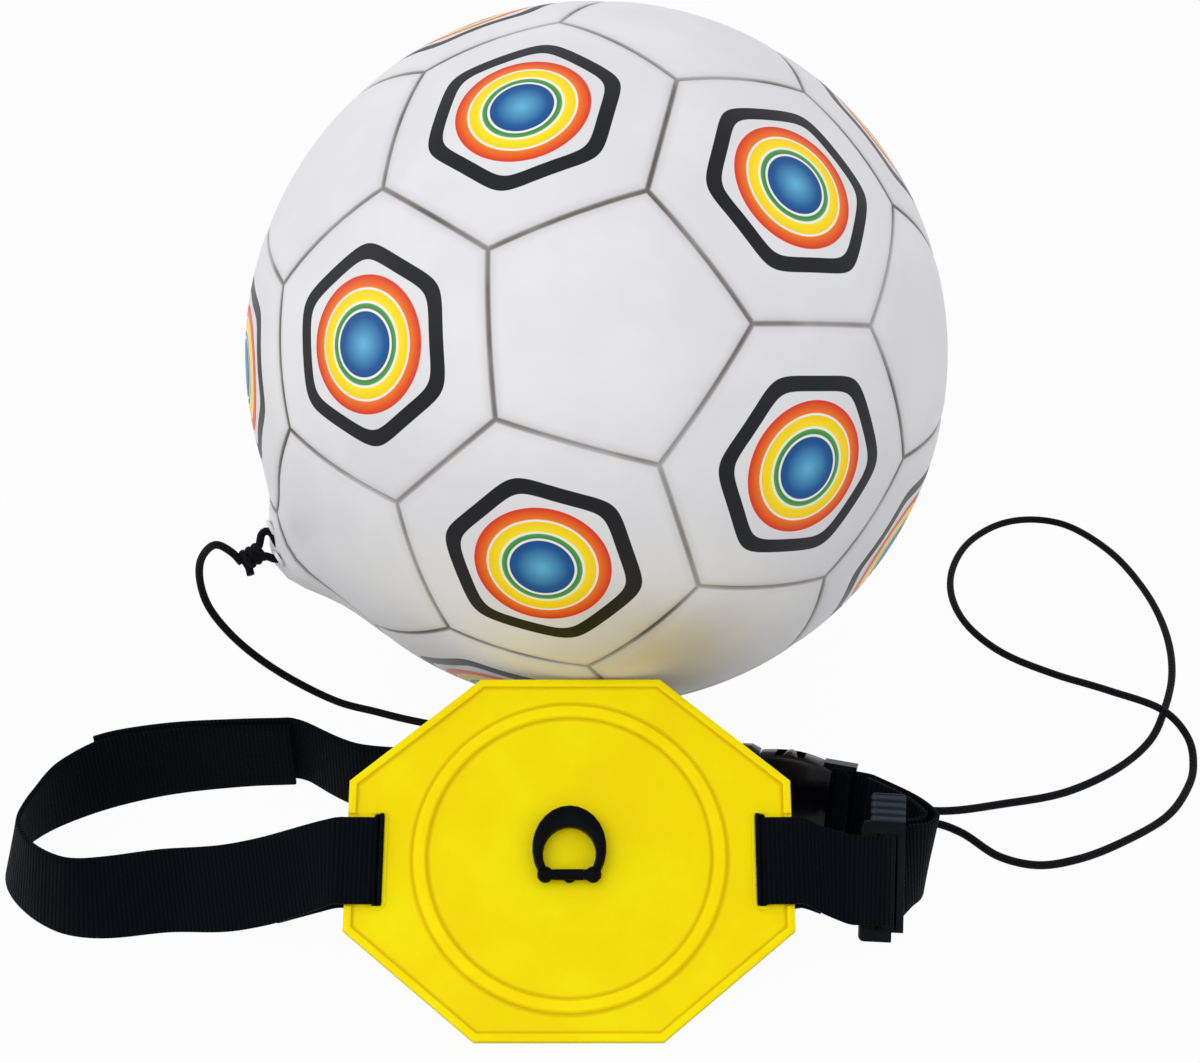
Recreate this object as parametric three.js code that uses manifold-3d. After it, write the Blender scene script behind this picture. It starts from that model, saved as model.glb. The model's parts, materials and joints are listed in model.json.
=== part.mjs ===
// A football kick trainer: a 32-panel ball on an elastic cord, whose other end is anchored
// behind an octagonal hip plate on an adjustable waist belt. It lies on a floor at Z = 0 with
// the ball standing behind the plate. Millimetres, +Z up, +X to the right, +Y away from the wearer.
import * as THREE from "three";
import { mergeVertices } from "three/addons/utils/BufferGeometryUtils.js";
import Module from "manifold-3d";

const wasm = await Module();
wasm.setup();

// ---------------------------------------------------------------- driving dimensions

const clearance = 0.3; // between pieces that touch

// Ball
const ballRadius = 110; // a full-size football
const coverThickness = 2.6; // foam-backed panel
const seamGap = 0.35;
const seamDepth = 1; // how far a panel's border lies below its middle
const pentagonShare = 0.343; // share of an icosahedron edge that a pentagon takes at each end
const panelSteps = 4; // facets from a panel's middle to its border
const ballTurn = 2.28; // degrees: the ball's front pentagon is turned, tipped and spun like this
const ballTip = 55.49;
const ballSpin = 1.2;
const bladderWall = 0.9;
const valveRadius = 3.4;
const valveFlange = 8;
const needleHole = 0.9; // radius
const lugAzimuth = 204.8; // degrees round the ball, and below its middle, to the tether lug
const lugElevation = -19.7;
const lugRadius = 6;
const lugHeight = 4.6;

// Elastic cord
const cordDiameter = 2.5;
const cordSides = 8;

// Hip plate
const plateWidth = 126.8;
const plateHeight = 104.5;
const plateTopWidth = 52.4; // the two level edges
const plateSideLength = 43.2; // the two upright edges
const plateThickness = 2.4;
const plateTilt = 32.25; // degrees above the floor
const plateX = -7.6; // the plate's middle, left of the ball's
const rimWidth = 2.3;
const rimHeight = 1;
const ribOuterRadius = 44.6; // the round rib on the plate's face
const ribWidth = 4;
const ribHeight = 1;
const slotInset = 7.6; // width of the bar between a slot and the plate's edge
const slotWidth = 3;
const slotLip = 1; // width of the raised edge beside a slot
const slotDrop = 1.4; // below the plate's middle

// Anchor in the middle of the plate
const barDistance = 6.3; // from the plate's middle down its slope to the crossbar
const barRadius = 1.6;
const spigotRadius = 0.9;
const knobRadius = 2.35;
const knobSpacing = 13.5;
const bailHalfWidth = 10.5;
const bailLength = 19.7; // crossbar to the crown's top
const bailOpeningWidth = 15;
const bailCrown = 5.9;
const bailThickness = 4;
const stemRadius = 1.5;
const eyeRadius = 3.2; // middle of the ring behind the plate
const eyeWire = 1.1;

// Webbing
const webbingWidth = 25;
const webbingThickness = 1.4;
const webbingPlay = 0.85; // between an edge of the webbing and what it passes through

// Three-bar slide
const slideFoot = [79.7, -154.2, 14.5]; // lower edge of the webbing at its middle bar
const slideLean = 45; // degrees
const slideHeading = 6;
const slideFall = 10;
const slideThickness = 2.4;
const slideRail = 3.6;
const slideStep = [3.7, 2.8]; // the step in the lower corner beside the last bar
const slideBar = 2.4;
const thumbTabLength = 10;
const thumbTabHeight = 8;
const thumbRibs = 4;

// Side-release buckle
const buckleX = 47; // the socket's mouth on the floor
const buckleY = -106;
const buckleLean = 23; // degrees
const buckleHeading = -15;
const buckleWidth = 31;
const buckleThickness = 9;
const buckleWall = 1.5;
const socketLength = 22.5; // mouth to the closed end
const buckleBar = 2; // diameter of the bars that hold the webbing
const barWindow = 4.2; // opening beside each bar
const plugBase = 6;
const tongueWidth = 5;
const tongueLength = 17;
const armLength = 16;
const armThickness = 2.6;
const armDepth = 5; // across the buckle's thickness
const padLength = 8;
const padBulge = 4.6;
const padStart = 5;
const buckleSettle = 0.7; // how much lower the buckle lies for its rounded edges

// ---------------------------------------------------------------- solids

const radians = THREE.MathUtils.degToRad;
const vector = (x, y, z) => new THREE.Vector3(x, y, z);

// A closed mesh as a solid, with its faces turned outwards.
function solid(geometry) {
  const bare = new THREE.BufferGeometry();
  bare.setAttribute("position", geometry.getAttribute("position"));
  bare.setIndex(geometry.index);
  const merged = mergeVertices(bare, 1e-3);
  const make = (triVerts) =>
    new wasm.Manifold(
      new wasm.Mesh({ numProp: 3, vertProperties: merged.attributes.position.array, triVerts }),
    );
  const corners = new Uint32Array(merged.index.array);
  const made = make(corners);
  if (made.volume() > 0) return made;
  for (let i = 0; i < corners.length; i += 3) {
    [corners[i + 1], corners[i + 2]] = [corners[i + 2], corners[i + 1]];
  }
  return make(corners);
}

function geometryOf(made) {
  const mesh = made.getMesh();
  const places = new Float32Array(mesh.numVert * 3);
  for (let i = 0; i < mesh.numVert; i++) {
    places.set(mesh.vertProperties.subarray(i * mesh.numProp, i * mesh.numProp + 3), i * 3);
  }
  const geometry = new THREE.BufferGeometry();
  geometry.setAttribute("position", new THREE.BufferAttribute(places, 3));
  geometry.setIndex(new THREE.BufferAttribute(new Uint32Array(mesh.triVerts), 1));
  const flat = geometry.toNonIndexed();
  flat.computeVertexNormals();
  return flat;
}

const join = (first, ...others) =>
  geometryOf(others.reduce((sum, g) => sum.add(solid(g)), solid(first)));
const cut = (first, ...others) =>
  geometryOf(others.reduce((rest, g) => rest.subtract(solid(g)), solid(first)));
const outward = (geometry) => geometryOf(solid(geometry));

function shapeOf(points) {
  return new THREE.Shape(points.map(([x, y]) => new THREE.Vector2(x, y)));
}

// An outline raised from `low` to `high`, with its edges broken by `edge`.
function plateOf(shape, low, high, edge = 0, segments = 6) {
  const geometry = new THREE.ExtrudeGeometry(shape, {
    depth: high - low - 2 * edge,
    bevelEnabled: edge > 0,
    bevelThickness: edge,
    bevelSize: edge,
    bevelOffset: -edge,
    bevelSegments: 2,
    curveSegments: segments,
  });
  return geometry.translate(0, 0, low + edge);
}

function block(low, high) {
  const size = vector(...high).sub(vector(...low));
  const middle = vector(...high).add(vector(...low)).multiplyScalar(0.5);
  return new THREE.BoxGeometry(size.x, size.y, size.z).translate(middle.x, middle.y, middle.z);
}

// A round tube along points, with flat ends.
function tube(points, diameter, steps, sides = cordSides) {
  const corner = (i) => {
    const angle = (2 * Math.PI * i) / sides;
    return [(diameter / 2) * Math.cos(angle), (diameter / 2) * Math.sin(angle)];
  };
  return new THREE.ExtrudeGeometry(shapeOf(Array.from({ length: sides }, (_, i) => corner(i))), {
    steps,
    extrudePath: new THREE.CatmullRomCurve3(points, false, "centripetal"),
  });
}

// A turned piece about Z, from [radius, height] points that start and end on the axis.
function turned(profile, segments = 12) {
  const points = profile.map(([r, z]) => new THREE.Vector2(r, z));
  return new THREE.LatheGeometry(points, segments).rotateX(Math.PI / 2);
}

const arc = (count, point) => Array.from({ length: count + 1 }, (_, i) => point(i / count));

function material(color, roughness, metalness = 0) {
  return new THREE.MeshStandardMaterial({ color, roughness, metalness });
}

const white = material(0xdcdcde, 0.35);
const bladderBlack = material(0x1c1c1e, 0.8);
const yellow = material(0xf5e000, 0.45);
const blackPlastic = material(0x101114, 0.4);
const blackWebbing = material(0x0b0d13, 0.9);
const blackCord = material(0x08080a, 0.7);

function piece(name, geometry, finish) {
  const mesh = new THREE.Mesh(geometry, finish);
  mesh.name = name;
  return mesh;
}

const numbered = (name, i) => name + "_" + String(i + 1).padStart(2, "0");

// ---------------------------------------------------------------- ball

// An icosahedron's corners with one at the top: the pentagons' middles.
function icosahedron() {
  const ring = (height, start) =>
    Array.from({ length: 5 }, (_, i) => {
      const angle = start + (2 * Math.PI * i) / 5;
      const radius = Math.sqrt(1 - height * height);
      return vector(radius * Math.cos(angle), radius * Math.sin(angle), height);
    });
  const height = 1 / Math.sqrt(5);
  return [vector(0, 0, 1), ...ring(height, 0), ...ring(-height, Math.PI / 5), vector(0, 0, -1)];
}

const centres = icosahedron();
const neighbours = centres.map((a, i) =>
  centres.map((_, j) => j).filter((j) => j !== i && a.angleTo(centres[j]) < Math.PI / 2 - 0.3),
);
const mix = (a, b) => a.clone().lerp(b, pentagonShare).normalize();

// The corners of a pentagon in order round its middle.
function pentagonCorners(i) {
  const middle = centres[i];
  const side = centres[neighbours[i][0]].clone().cross(middle).normalize();
  const front = middle.clone().cross(side);
  const bearing = (v) => Math.atan2(v.dot(side), v.dot(front));
  return neighbours[i]
    .map((j) => mix(middle, centres[j]))
    .sort((a, b) => bearing(a) - bearing(b));
}

function hexagonFaces() {
  const faces = [];
  centres.forEach((_, i) =>
    neighbours[i].forEach((j) =>
      neighbours[j].forEach((k) => {
        if (i < j && j < k && neighbours[i].includes(k)) faces.push([i, j, k]);
      }),
    ),
  );
  return faces;
}

function hexagonCorners(face) {
  const [a, b, c] = face.map((i) => centres[i]);
  return [mix(a, b), mix(b, a), mix(b, c), mix(c, b), mix(c, a), mix(a, c)];
}

// One curved panel: rings of points from its middle to its border, outside and inside.
function panel(corners) {
  const middle = corners.reduce((sum, c) => sum.add(c), vector(0, 0, 0)).normalize();
  const sides = corners.length;
  const edgeMiddle = corners[0].clone().add(corners[1]).normalize();
  const shrink = 1 - seamGap / 2 / (ballRadius * middle.angleTo(edgeMiddle));
  const inset = corners.map((c) => middle.clone().lerp(c, shrink).normalize());
  const places = [];
  const start = (side, k) => side * (1 + (sides * panelSteps * (panelSteps + 1)) / 2) +
    (k === 0 ? 0 : 1 + (sides * k * (k - 1)) / 2);
  const at = (side, k, j) => start(side, k) + (k === 0 ? 0 : j % (sides * k));
  for (const side of [0, 1]) {
    for (let k = 0; k <= panelSteps; k++) {
      const share = 1 - (1 - k / panelSteps) ** 1.5; // closer rings towards the border
      const bulge = ballRadius - seamDepth * share ** 10;
      const radius = side === 0 ? bulge : ballRadius - coverThickness;
      for (let j = 0; j < Math.max(1, sides * k); j++) {
        const sector = k === 0 ? 0 : Math.floor(j / k);
        const along = k === 0 ? 0 : (j % k) / k;
        const border = inset[sector].clone().lerp(inset[(sector + 1) % sides], along);
        const place = middle.clone().lerp(border, share).normalize().multiplyScalar(radius);
        places.push(place.x, place.y, place.z);
      }
    }
  }
  const index = [];
  for (const side of [0, 1]) {
    for (let k = 1; k <= panelSteps; k++) {
      for (let sector = 0; sector < sides; sector++) {
        for (let j = 0; j < k; j++) {
          const outer = at(side, k, sector * k + j);
          const next = at(side, k, sector * k + j + 1);
          const inner = at(side, k - 1, sector * (k - 1) + j);
          index.push(...(side === 0 ? [outer, next, inner] : [next, outer, inner]));
          if (j === k - 1) continue;
          const innerNext = at(side, k - 1, sector * (k - 1) + j + 1);
          index.push(...(side === 0 ? [inner, next, innerNext] : [next, inner, innerNext]));
        }
      }
    }
  }
  for (let j = 0; j < sides * panelSteps; j++) {
    const [a, b] = [at(0, panelSteps, j), at(0, panelSteps, j + 1)];
    const [c, d] = [at(1, panelSteps, j), at(1, panelSteps, j + 1)];
    index.push(b, a, c, b, c, d);
  }
  const geometry = new THREE.BufferGeometry();
  geometry.setAttribute("position", new THREE.Float32BufferAttribute(places, 3));
  geometry.setIndex(index);
  return outward(geometry);
}

const valveCentre = 7; // which pentagon the valve comes out of: one at the back of the ball
const toValve = new THREE.Quaternion().setFromUnitVectors(vector(0, 0, 1), centres[valveCentre]);
const bladderRadius = ballRadius - coverThickness - clearance - 0.4;
const valveHole = valveRadius + clearance;

// A hollow rubber sphere, open only where its valve goes in.
function bladder() {
  const inner = bladderRadius - bladderWall;
  const sweep = (radius, from, to) =>
    arc(10, (share) => {
      const angle = from + (to - from) * share;
      return [radius * Math.sin(angle), radius * Math.cos(angle)];
    });
  const mouth = (radius) => Math.asin(valveHole / radius);
  const profile = [
    ...sweep(inner, Math.PI, mouth(inner)),
    ...sweep(bladderRadius, mouth(bladderRadius), Math.PI),
  ];
  profile[0][0] = 0;
  profile[profile.length - 1][0] = 0;
  return outward(turned(profile, 20));
}

function valve() {
  const inner = bladderRadius - bladderWall - clearance;
  const seat = Math.sqrt(inner ** 2 - valveFlange ** 2) - 0.8;
  const tip = ballRadius - 0.6;
  return outward(
    turned([
      [0, seat - 6],
      [valveRadius + 0.8, seat - 6],
      [valveRadius + 0.8, seat - 1.2],
      [valveFlange, seat - 1.2],
      [valveFlange, seat],
      [valveRadius, seat],
      [valveRadius, tip - 0.4],
      [valveRadius - 0.4, tip],
      [needleHole, tip],
      [needleHole, seat - 4],
      [0, seat - 4],
    ]),
  );
}

// The lug that the cord is tied to: a small dome with a tunnel through it.
function tetherLug() {
  const seat = ballRadius + clearance;
  const domeRadius = (lugRadius ** 2 + lugHeight ** 2) / (2 * lugHeight);
  const domeMiddle = lugHeight - domeRadius;
  const base = (r) => Math.sqrt(seat ** 2 - r ** 2) - seat;
  const profile = [
    ...arc(3, (share) => [lugRadius * share, base(lugRadius * share)]),
    [lugRadius, base(lugRadius) + 0.7],
    ...arc(5, (share) => {
      const reach = Math.asin(Math.min(1, (lugRadius - 0.3) / domeRadius));
      const angle = reach * (1 - share);
      return [domeRadius * Math.sin(angle), domeMiddle + domeRadius * Math.cos(angle)];
    }),
  ];
  const dome = turned(profile, 16);
  const tunnel = new THREE.CylinderGeometry(1, 1, 4 * lugRadius, 12);
  tunnel.scale(cordDiameter / 2 + clearance, 1, cordDiameter / 2 + clearance);
  tunnel.translate(0, 0, tunnelHeight);
  return cut(dome, tunnel).translate(0, 0, seat);
}

const tunnelHeight = 2.3; // of the lug's tunnel over its seat
const knotFoot = ballRadius + 7; // where the knot starts, from the ball's middle
const knotLength = 8;
const knotRadius = 2.7;

// A barrel knot: three turns of cord drawn tight round the standing part.
function barrelKnot(turns = 3) {
  const profile = [[0, 0]];
  for (let i = 0; i < turns; i++) {
    for (const share of [0.1, 0.5, 0.9]) {
      const swell = share === 0.5 ? 1 : 0.78;
      profile.push([knotRadius * swell, (knotLength * (i + share)) / turns]);
    }
  }
  profile.push([0, knotLength]);
  return turned(profile, 10);
}

// A loop of cord closed by a knot with a short tail, leading away along Z: `half` holds the
// [y, z] points of one side of the loop, from its middle.
function knottedLoop(half, foot) {
  const side = (sign) =>
    [...half, [1.9, foot + 0.6], [1.45, foot + 2]].map(([y, z]) => vector(0, sign * y, z));
  const loop = tube([...side(-1).reverse(), ...side(1).slice(1)], cordDiameter, 26);
  const tail = tube(
    [vector(0, 0.6, foot + 1.6), vector(0.4, 3.2, foot + 2), vector(0.8, 6, foot + 1.2)],
    cordDiameter,
    3,
  );
  return join(loop, barrelKnot().translate(0, 0, foot), tail);
}

// Through the lug on the ball; Y is the tunnel's direction.
function ballKnot() {
  const low = ballRadius + clearance + tunnelHeight;
  const half = [[0, low], [4.4, low], [6, low + 1.2], [5.4, low + 2.9], [3.4, knotFoot - 0.4]];
  return knottedLoop(half, knotFoot);
}

const lugOut = vector(
  Math.cos(radians(lugElevation)) * Math.cos(radians(lugAzimuth)),
  Math.cos(radians(lugElevation)) * Math.sin(radians(lugAzimuth)),
  Math.sin(radians(lugElevation)),
);
const lugTunnel = vector(0.534, -0.485, -0.692); // nearly straight down the ball's side
const knotEnd = knotFoot + knotLength;

// Turns a piece so that its Z points along `out` and its Y lies as near `along` as it can.
function aim(object, out, along) {
  const z = out.clone().normalize();
  const x = along.clone().cross(z).normalize();
  const y = z.clone().cross(x);
  object.quaternion.setFromRotationMatrix(new THREE.Matrix4().makeBasis(x, y, z));
  return object;
}

function ballAssembly() {
  const whole = new THREE.Group();
  whole.position.z = ballRadius;
  const panels = new THREE.Group();
  panels.setRotationFromMatrix(
    new THREE.Matrix4()
      .makeRotationZ(radians(ballTurn))
      .multiply(new THREE.Matrix4().makeRotationX(radians(ballTip)))
      .multiply(new THREE.Matrix4().makeRotationZ(radians(ballSpin))),
  );
  const bore = new THREE.CylinderGeometry(valveHole, valveHole, 20, 16).rotateX(Math.PI / 2);
  bore.translate(0, 0, ballRadius).applyQuaternion(toValve);
  centres.forEach((_, i) => {
    const shell = panel(pentagonCorners(i));
    const made = i === valveCentre ? cut(shell, bore) : shell;
    panels.add(piece(numbered("ball_pentagon", i), made, white));
  });
  hexagonFaces().forEach((face, i) => {
    panels.add(piece(numbered("ball_hexagon", i), panel(hexagonCorners(face)), white));
  });
  for (const [name, made] of [["ball_bladder", bladder()], ["ball_valve", valve()]]) {
    const mesh = piece(name, made, bladderBlack);
    mesh.quaternion.copy(toValve);
    panels.add(mesh);
  }
  const tether = aim(new THREE.Group(), lugOut, lugTunnel);
  tether.add(piece("tether_lug", tetherLug(), white));
  tether.add(piece("cord_ball_knot", ballKnot(), blackCord));
  whole.add(panels, tether);
  return whole;
}

// ---------------------------------------------------------------- hip plate

const tilt = radians(plateTilt);
const slope = vector(0, Math.cos(tilt), Math.sin(tilt)); // up the plate
const face = vector(0, -Math.sin(tilt), Math.cos(tilt)); // out of its front
// The plate's top edge leans on the ball.
const leanRise = ballRadius - plateHeight * Math.sin(tilt);
const plateY =
  -Math.sqrt((ballRadius + clearance) ** 2 - leanRise ** 2) - plateHeight * Math.cos(tilt);
const plateMiddle = plateHeight / 2;
const slotLength = webbingWidth + 2 * webbingPlay;
const slotOuter = plateWidth / 2 - slotInset;
const barU = plateMiddle - barDistance;
const barHeight = plateThickness + clearance + knobRadius;

// A point of the plate: x from its middle, u up its slope and n out of its back.
const onPlate = (x, u, n) =>
  vector(plateX + x, plateY, 0).addScaledVector(slope, u).addScaledVector(face, n);

function octagon(inset) {
  const x = plateWidth / 2 - inset;
  const y = plateHeight / 2 - inset;
  const corner = inset * Math.tan(Math.PI / 8);
  const a = plateTopWidth / 2 - corner;
  const b = plateSideLength / 2 - corner;
  return [[-a, -y], [a, -y], [x, -b], [x, b], [a, y], [-a, y], [-x, b], [-x, -b]];
}

function roundedBox(width, height, radius) {
  const shape = new THREE.Shape();
  const [x, y] = [width / 2, height / 2];
  shape.moveTo(-x + radius, -y).lineTo(x - radius, -y);
  shape.absarc(x - radius, -y + radius, radius, -Math.PI / 2, 0);
  shape.absarc(x - radius, y - radius, radius, 0, Math.PI / 2);
  shape.absarc(-x + radius, y - radius, radius, Math.PI / 2, Math.PI);
  shape.absarc(-x + radius, -y + radius, radius, Math.PI, 1.5 * Math.PI);
  return shape;
}

function hipPlate() {
  const top = plateThickness;
  const base = plateOf(shapeOf(octagon(0)), 0, top, 0.4);
  const rimShape = shapeOf(octagon(0.1));
  rimShape.holes.push(new THREE.Path(shapeOf(octagon(rimWidth)).getPoints().reverse()));
  const rim = plateOf(rimShape, top - 0.6, top + rimHeight, 0.3);
  const seat = block(
    [-plateWidth, -slotLength / 2 - slotDrop, top],
    [plateWidth, slotLength / 2 - slotDrop, top + 2 * rimHeight],
  );
  const rib = turned(
    [
      [ribOuterRadius - ribWidth, top - 0.6],
      [ribOuterRadius, top - 0.6],
      [ribOuterRadius, top + 0.2],
      [ribOuterRadius - 0.8, top + ribHeight],
      [ribOuterRadius - ribWidth + 0.8, top + ribHeight],
      [ribOuterRadius - ribWidth, top + 0.2],
      [ribOuterRadius - ribWidth, top - 0.6],
    ],
    64,
  );
  const slot = plateOf(roundedBox(slotWidth, slotLength, 1), -1, top + 2, 0, 3);
  const slotMiddle = slotOuter - slotWidth / 2;
  const beside = (made) => [-1, 1].map((s) => made.clone().translate(s * slotMiddle, -slotDrop, 0));
  const slots = beside(slot);
  const lipBox = roundedBox(slotWidth + 2 * slotLip, slotLength + 2 * slotLip, 1 + slotLip);
  const lowEnd = -slotLength / 2 - slotDrop;
  const lips = beside(plateOf(lipBox, top - 0.6, top + 0.6 * rimHeight, 0.2, 3)).map((lip, i) => {
    const [near, far] = i === 0 ? [-plateWidth, -slotMiddle] : [slotMiddle, plateWidth];
    return cut(lip, block([near, lowEnd, top], [far, lowEnd + slotLength, top + 2]));
  });
  const hole = new THREE.CylinderGeometry(1, 1, 10, 16).rotateX(Math.PI / 2);
  hole.scale(stemRadius + clearance, stemRadius + clearance, 1).translate(0, -barDistance, 0);
  const body = join(base, cut(rim, seat), rib, ...lips);
  return cut(body, ...slots, hole).translate(0, plateMiddle, 0);
}

// ---------------------------------------------------------------- anchor

// The crossbar lies along X, with thinner ends that the bail turns on.
function crossbar() {
  const shoulder = knobSpacing / 2 - knobRadius - clearance;
  const end = knobSpacing / 2 + 1.2;
  const half = [
    [0, -end],
    [spigotRadius, -end],
    [spigotRadius, -shoulder],
    [barRadius, -shoulder],
  ];
  const mirrored = [...half].reverse().map(([r, z]) => [r, -z]);
  const bar = turned([...half, ...mirrored], 12).rotateY(Math.PI / 2);
  const socket = new THREE.CylinderGeometry(0.8, 0.8, 2, 10).rotateX(Math.PI / 2);
  return cut(bar, socket.translate(0, 0, -barRadius));
}

const ringHeight = -barHeight - clearance - 0.6 - eyeRadius; // of the ring's middle from the bar

// The stem goes through the plate and ends in a ring for the cord.
function anchorStem() {
  const collar = -barRadius - clearance;
  const foot = -barHeight - clearance;
  const shaft = turned(
    [
      [0, foot - 1],
      [stemRadius, foot - 1],
      [stemRadius, collar],
      [0.5, collar],
      [0.5, collar + 0.9],
      [0, collar + 0.9],
    ],
    12,
  );
  const ring = new THREE.TorusGeometry(eyeRadius, eyeWire, 8, 20).rotateX(Math.PI / 2);
  return join(shaft, ring.translate(0, 0, ringHeight));
}

// A half-moon bail: its crown tapers into two ball ends, bored for the crossbar.
function bail() {
  const opening = bailLength - bailCrown;
  const outer = { y: bailLength - 12.1, rx: bailHalfWidth, ry: 12.1 };
  const inner = { y: opening - 8, rx: bailOpeningWidth / 2, ry: 8 };
  const side = (oval, angle) => [
    oval.rx * Math.cos(angle),
    oval.y + oval.ry * Math.sin(angle),
  ];
  const fall = (oval, low) => Math.asin((low - oval.y) / oval.ry);
  const tip = 0.9; // where the crown's ends meet the balls
  const sweep = (oval) => {
    const start = fall(oval, tip);
    return arc(18, (share) => side(oval, start + (Math.PI - 2 * start) * share));
  };
  const outline = shapeOf([...sweep(outer), ...sweep(inner).reverse()]);
  const crown = plateOf(outline, -bailThickness / 2, bailThickness / 2, 0.7);
  const balls = [-1, 1].map((s) =>
    new THREE.SphereGeometry(knobRadius, 12, 8).translate((s * knobSpacing) / 2, 0, 0),
  );
  const bore = spigotRadius + 0.2;
  const bores = [-1, 1].map((s) => {
    const reach = knobRadius + 1.5;
    const hole = new THREE.CylinderGeometry(bore, bore, reach, 12).rotateZ(Math.PI / 2);
    return hole.translate(s * (knobSpacing / 2 + 1.5 - reach / 2), 0, 0);
  });
  return cut(join(crown, ...balls), ...bores);
}

// The cord's other end, looped round the wire of the stem's ring.
const anchorKnotFoot = eyeRadius + 3.6;
const anchorKnotLean = 32; // degrees to the right of straight out of the plate's back

function anchorKnot() {
  const around = clearance + eyeWire + cordDiameter / 2;
  const half = [
    [0, eyeRadius - around],
    [around * 0.72, eyeRadius - around * 0.86],
    [around * 1.12, eyeRadius - 0.5],
    [around * 1.1, eyeRadius + 1.2],
  ];
  return knottedLoop(half, anchorKnotFoot);
}

function plateAssembly() {
  const group = new THREE.Group();
  group.position.set(plateX, plateY, 0);
  group.rotation.x = tilt;
  group.add(piece("hip_plate", hipPlate(), yellow));
  const anchor = new THREE.Group();
  anchor.position.set(0, barU, barHeight);
  anchor.add(piece("anchor_crossbar", crossbar(), blackPlastic));
  anchor.add(piece("anchor_stem", anchorStem(), blackPlastic));
  anchor.add(piece("anchor_bail", bail(), blackPlastic));
  const knot = piece("cord_anchor_knot", anchorKnot(), blackCord);
  const knotOut = vector(
    Math.sin(radians(anchorKnotLean)),
    0,
    -Math.cos(radians(anchorKnotLean)),
  );
  aim(knot, knotOut, vector(0, 1, 0)).position.z = ringHeight;
  anchor.add(knot);
  group.add(anchor);
  return group;
}

// ---------------------------------------------------------------- webbing

// A station of a strap: where its lower and its upper edge pass.
const station = (low, up) => ({ low, high: low.clone().addScaledVector(up, webbingWidth) });
const leaning = (back, right = 0) =>
  vector(Math.tan(radians(right)), Math.sin(radians(back)), Math.cos(radians(back))).normalize();

function neighboursOf(list, i) {
  return [list[Math.max(0, i - 1)], list[Math.min(list.length - 1, i + 1)]];
}

// From rows [x, y, z, back, right]: a place of the lower edge, and how many degrees the strap
// leans away from the wearer and to the right. The width stays square to the travel.
function onFloor(rows) {
  const places = rows.map(([x, y, z]) => vector(x, y, z));
  return rows.map(([, , , back, right], i) => {
    const [before, after] = neighboursOf(places, i);
    const travel = after.clone().sub(before).normalize();
    const up = leaning(back, right);
    return station(places[i], up.addScaledVector(travel, -up.dot(travel)).normalize());
  });
}

const edgeCurve = (stations, edge) =>
  new THREE.CatmullRomCurve3(stations.map((s) => s[edge]), false, "centripetal");

// Stations at even shares of the smooth strap from one station to a later one.
function along(stations, from, to, steps) {
  const [low, high] = ["low", "high"].map((edge) => edgeCurve(stations, edge));
  return arc(steps, (t) => {
    const share = (from + (to - from) * t) / (stations.length - 1);
    return { low: low.getPoint(share), high: high.getPoint(share) };
  });
}

// Stations moved square to the strap, to the right of the travel.
function beside(stations, distance) {
  return stations.map((here, i) => {
    const [before, after] = neighboursOf(stations, i);
    const up = here.high.clone().sub(here.low);
    const moved = (edge) => {
      const normal = after[edge].clone().sub(before[edge]).cross(up).normalize();
      return here[edge].clone().addScaledVector(normal, distance);
    };
    return { low: moved("low"), high: moved("high") };
  });
}

// A strap of webbing through stations.
function strap(stations, longestStep = 7) {
  const low = edgeCurve(stations, "low");
  const high = edgeCurve(stations, "high");
  const spans = stations.length - 1;
  const shares = [0];
  for (let i = 0; i < spans; i++) {
    const length = stations[i].low.distanceTo(stations[i + 1].low);
    const steps = Math.max(1, Math.ceil(length / longestStep));
    for (let j = 1; j <= steps; j++) shares.push((i + j / steps) / spans);
  }
  const places = [];
  for (const share of shares) {
    const up = high.getPoint(share).sub(low.getPoint(share));
    for (const [edge, depth] of [[low, -0.5], [high, -0.5], [high, 0.5], [low, 0.5]]) {
      const normal = edge.getTangent(share).cross(up).normalize();
      const corner = edge.getPoint(share).addScaledVector(normal, depth * webbingThickness);
      places.push(corner.x, corner.y, corner.z);
    }
  }
  const index = [0, 1, 2, 0, 2, 3];
  for (let i = 0; i < shares.length - 1; i++) {
    for (let j = 0; j < 4; j++) {
      const [a, b] = [4 * i + j, 4 * i + ((j + 1) % 4)];
      index.push(a, a + 4, b, b, a + 4, b + 4);
    }
  }
  const last = 4 * (shares.length - 1);
  index.push(last, last + 2, last + 1, last, last + 3, last + 2);
  const geometry = new THREE.BufferGeometry();
  geometry.setAttribute("position", new THREE.Float32BufferAttribute(places, 3));
  geometry.setIndex(index);
  return outward(geometry);
}

// A local frame on a strap: along it, up its width and out of its face towards the wearer.
function strapFrame(origin, heading, fall, lean) {
  const level = Math.cos(radians(fall));
  const along = vector(
    Math.cos(radians(heading)) * level,
    Math.sin(radians(heading)) * level,
    -Math.sin(radians(fall)),
  );
  const up = leaning(lean);
  up.addScaledVector(along, -up.dot(along)).normalize();
  const out = along.clone().cross(up);
  const at = (a, n) => {
    const place = origin.clone().addScaledVector(along, a).addScaledVector(out, n);
    return station(place, up);
  };
  return { origin, along, up, out, at };
}

const layer = webbingThickness + clearance; // from one layer of webbing to the next
// The webbing hangs at the slots' lower ends.
const strapLow = plateMiddle - slotDrop - webbingWidth / 2 - webbingPlay / 2;

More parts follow.
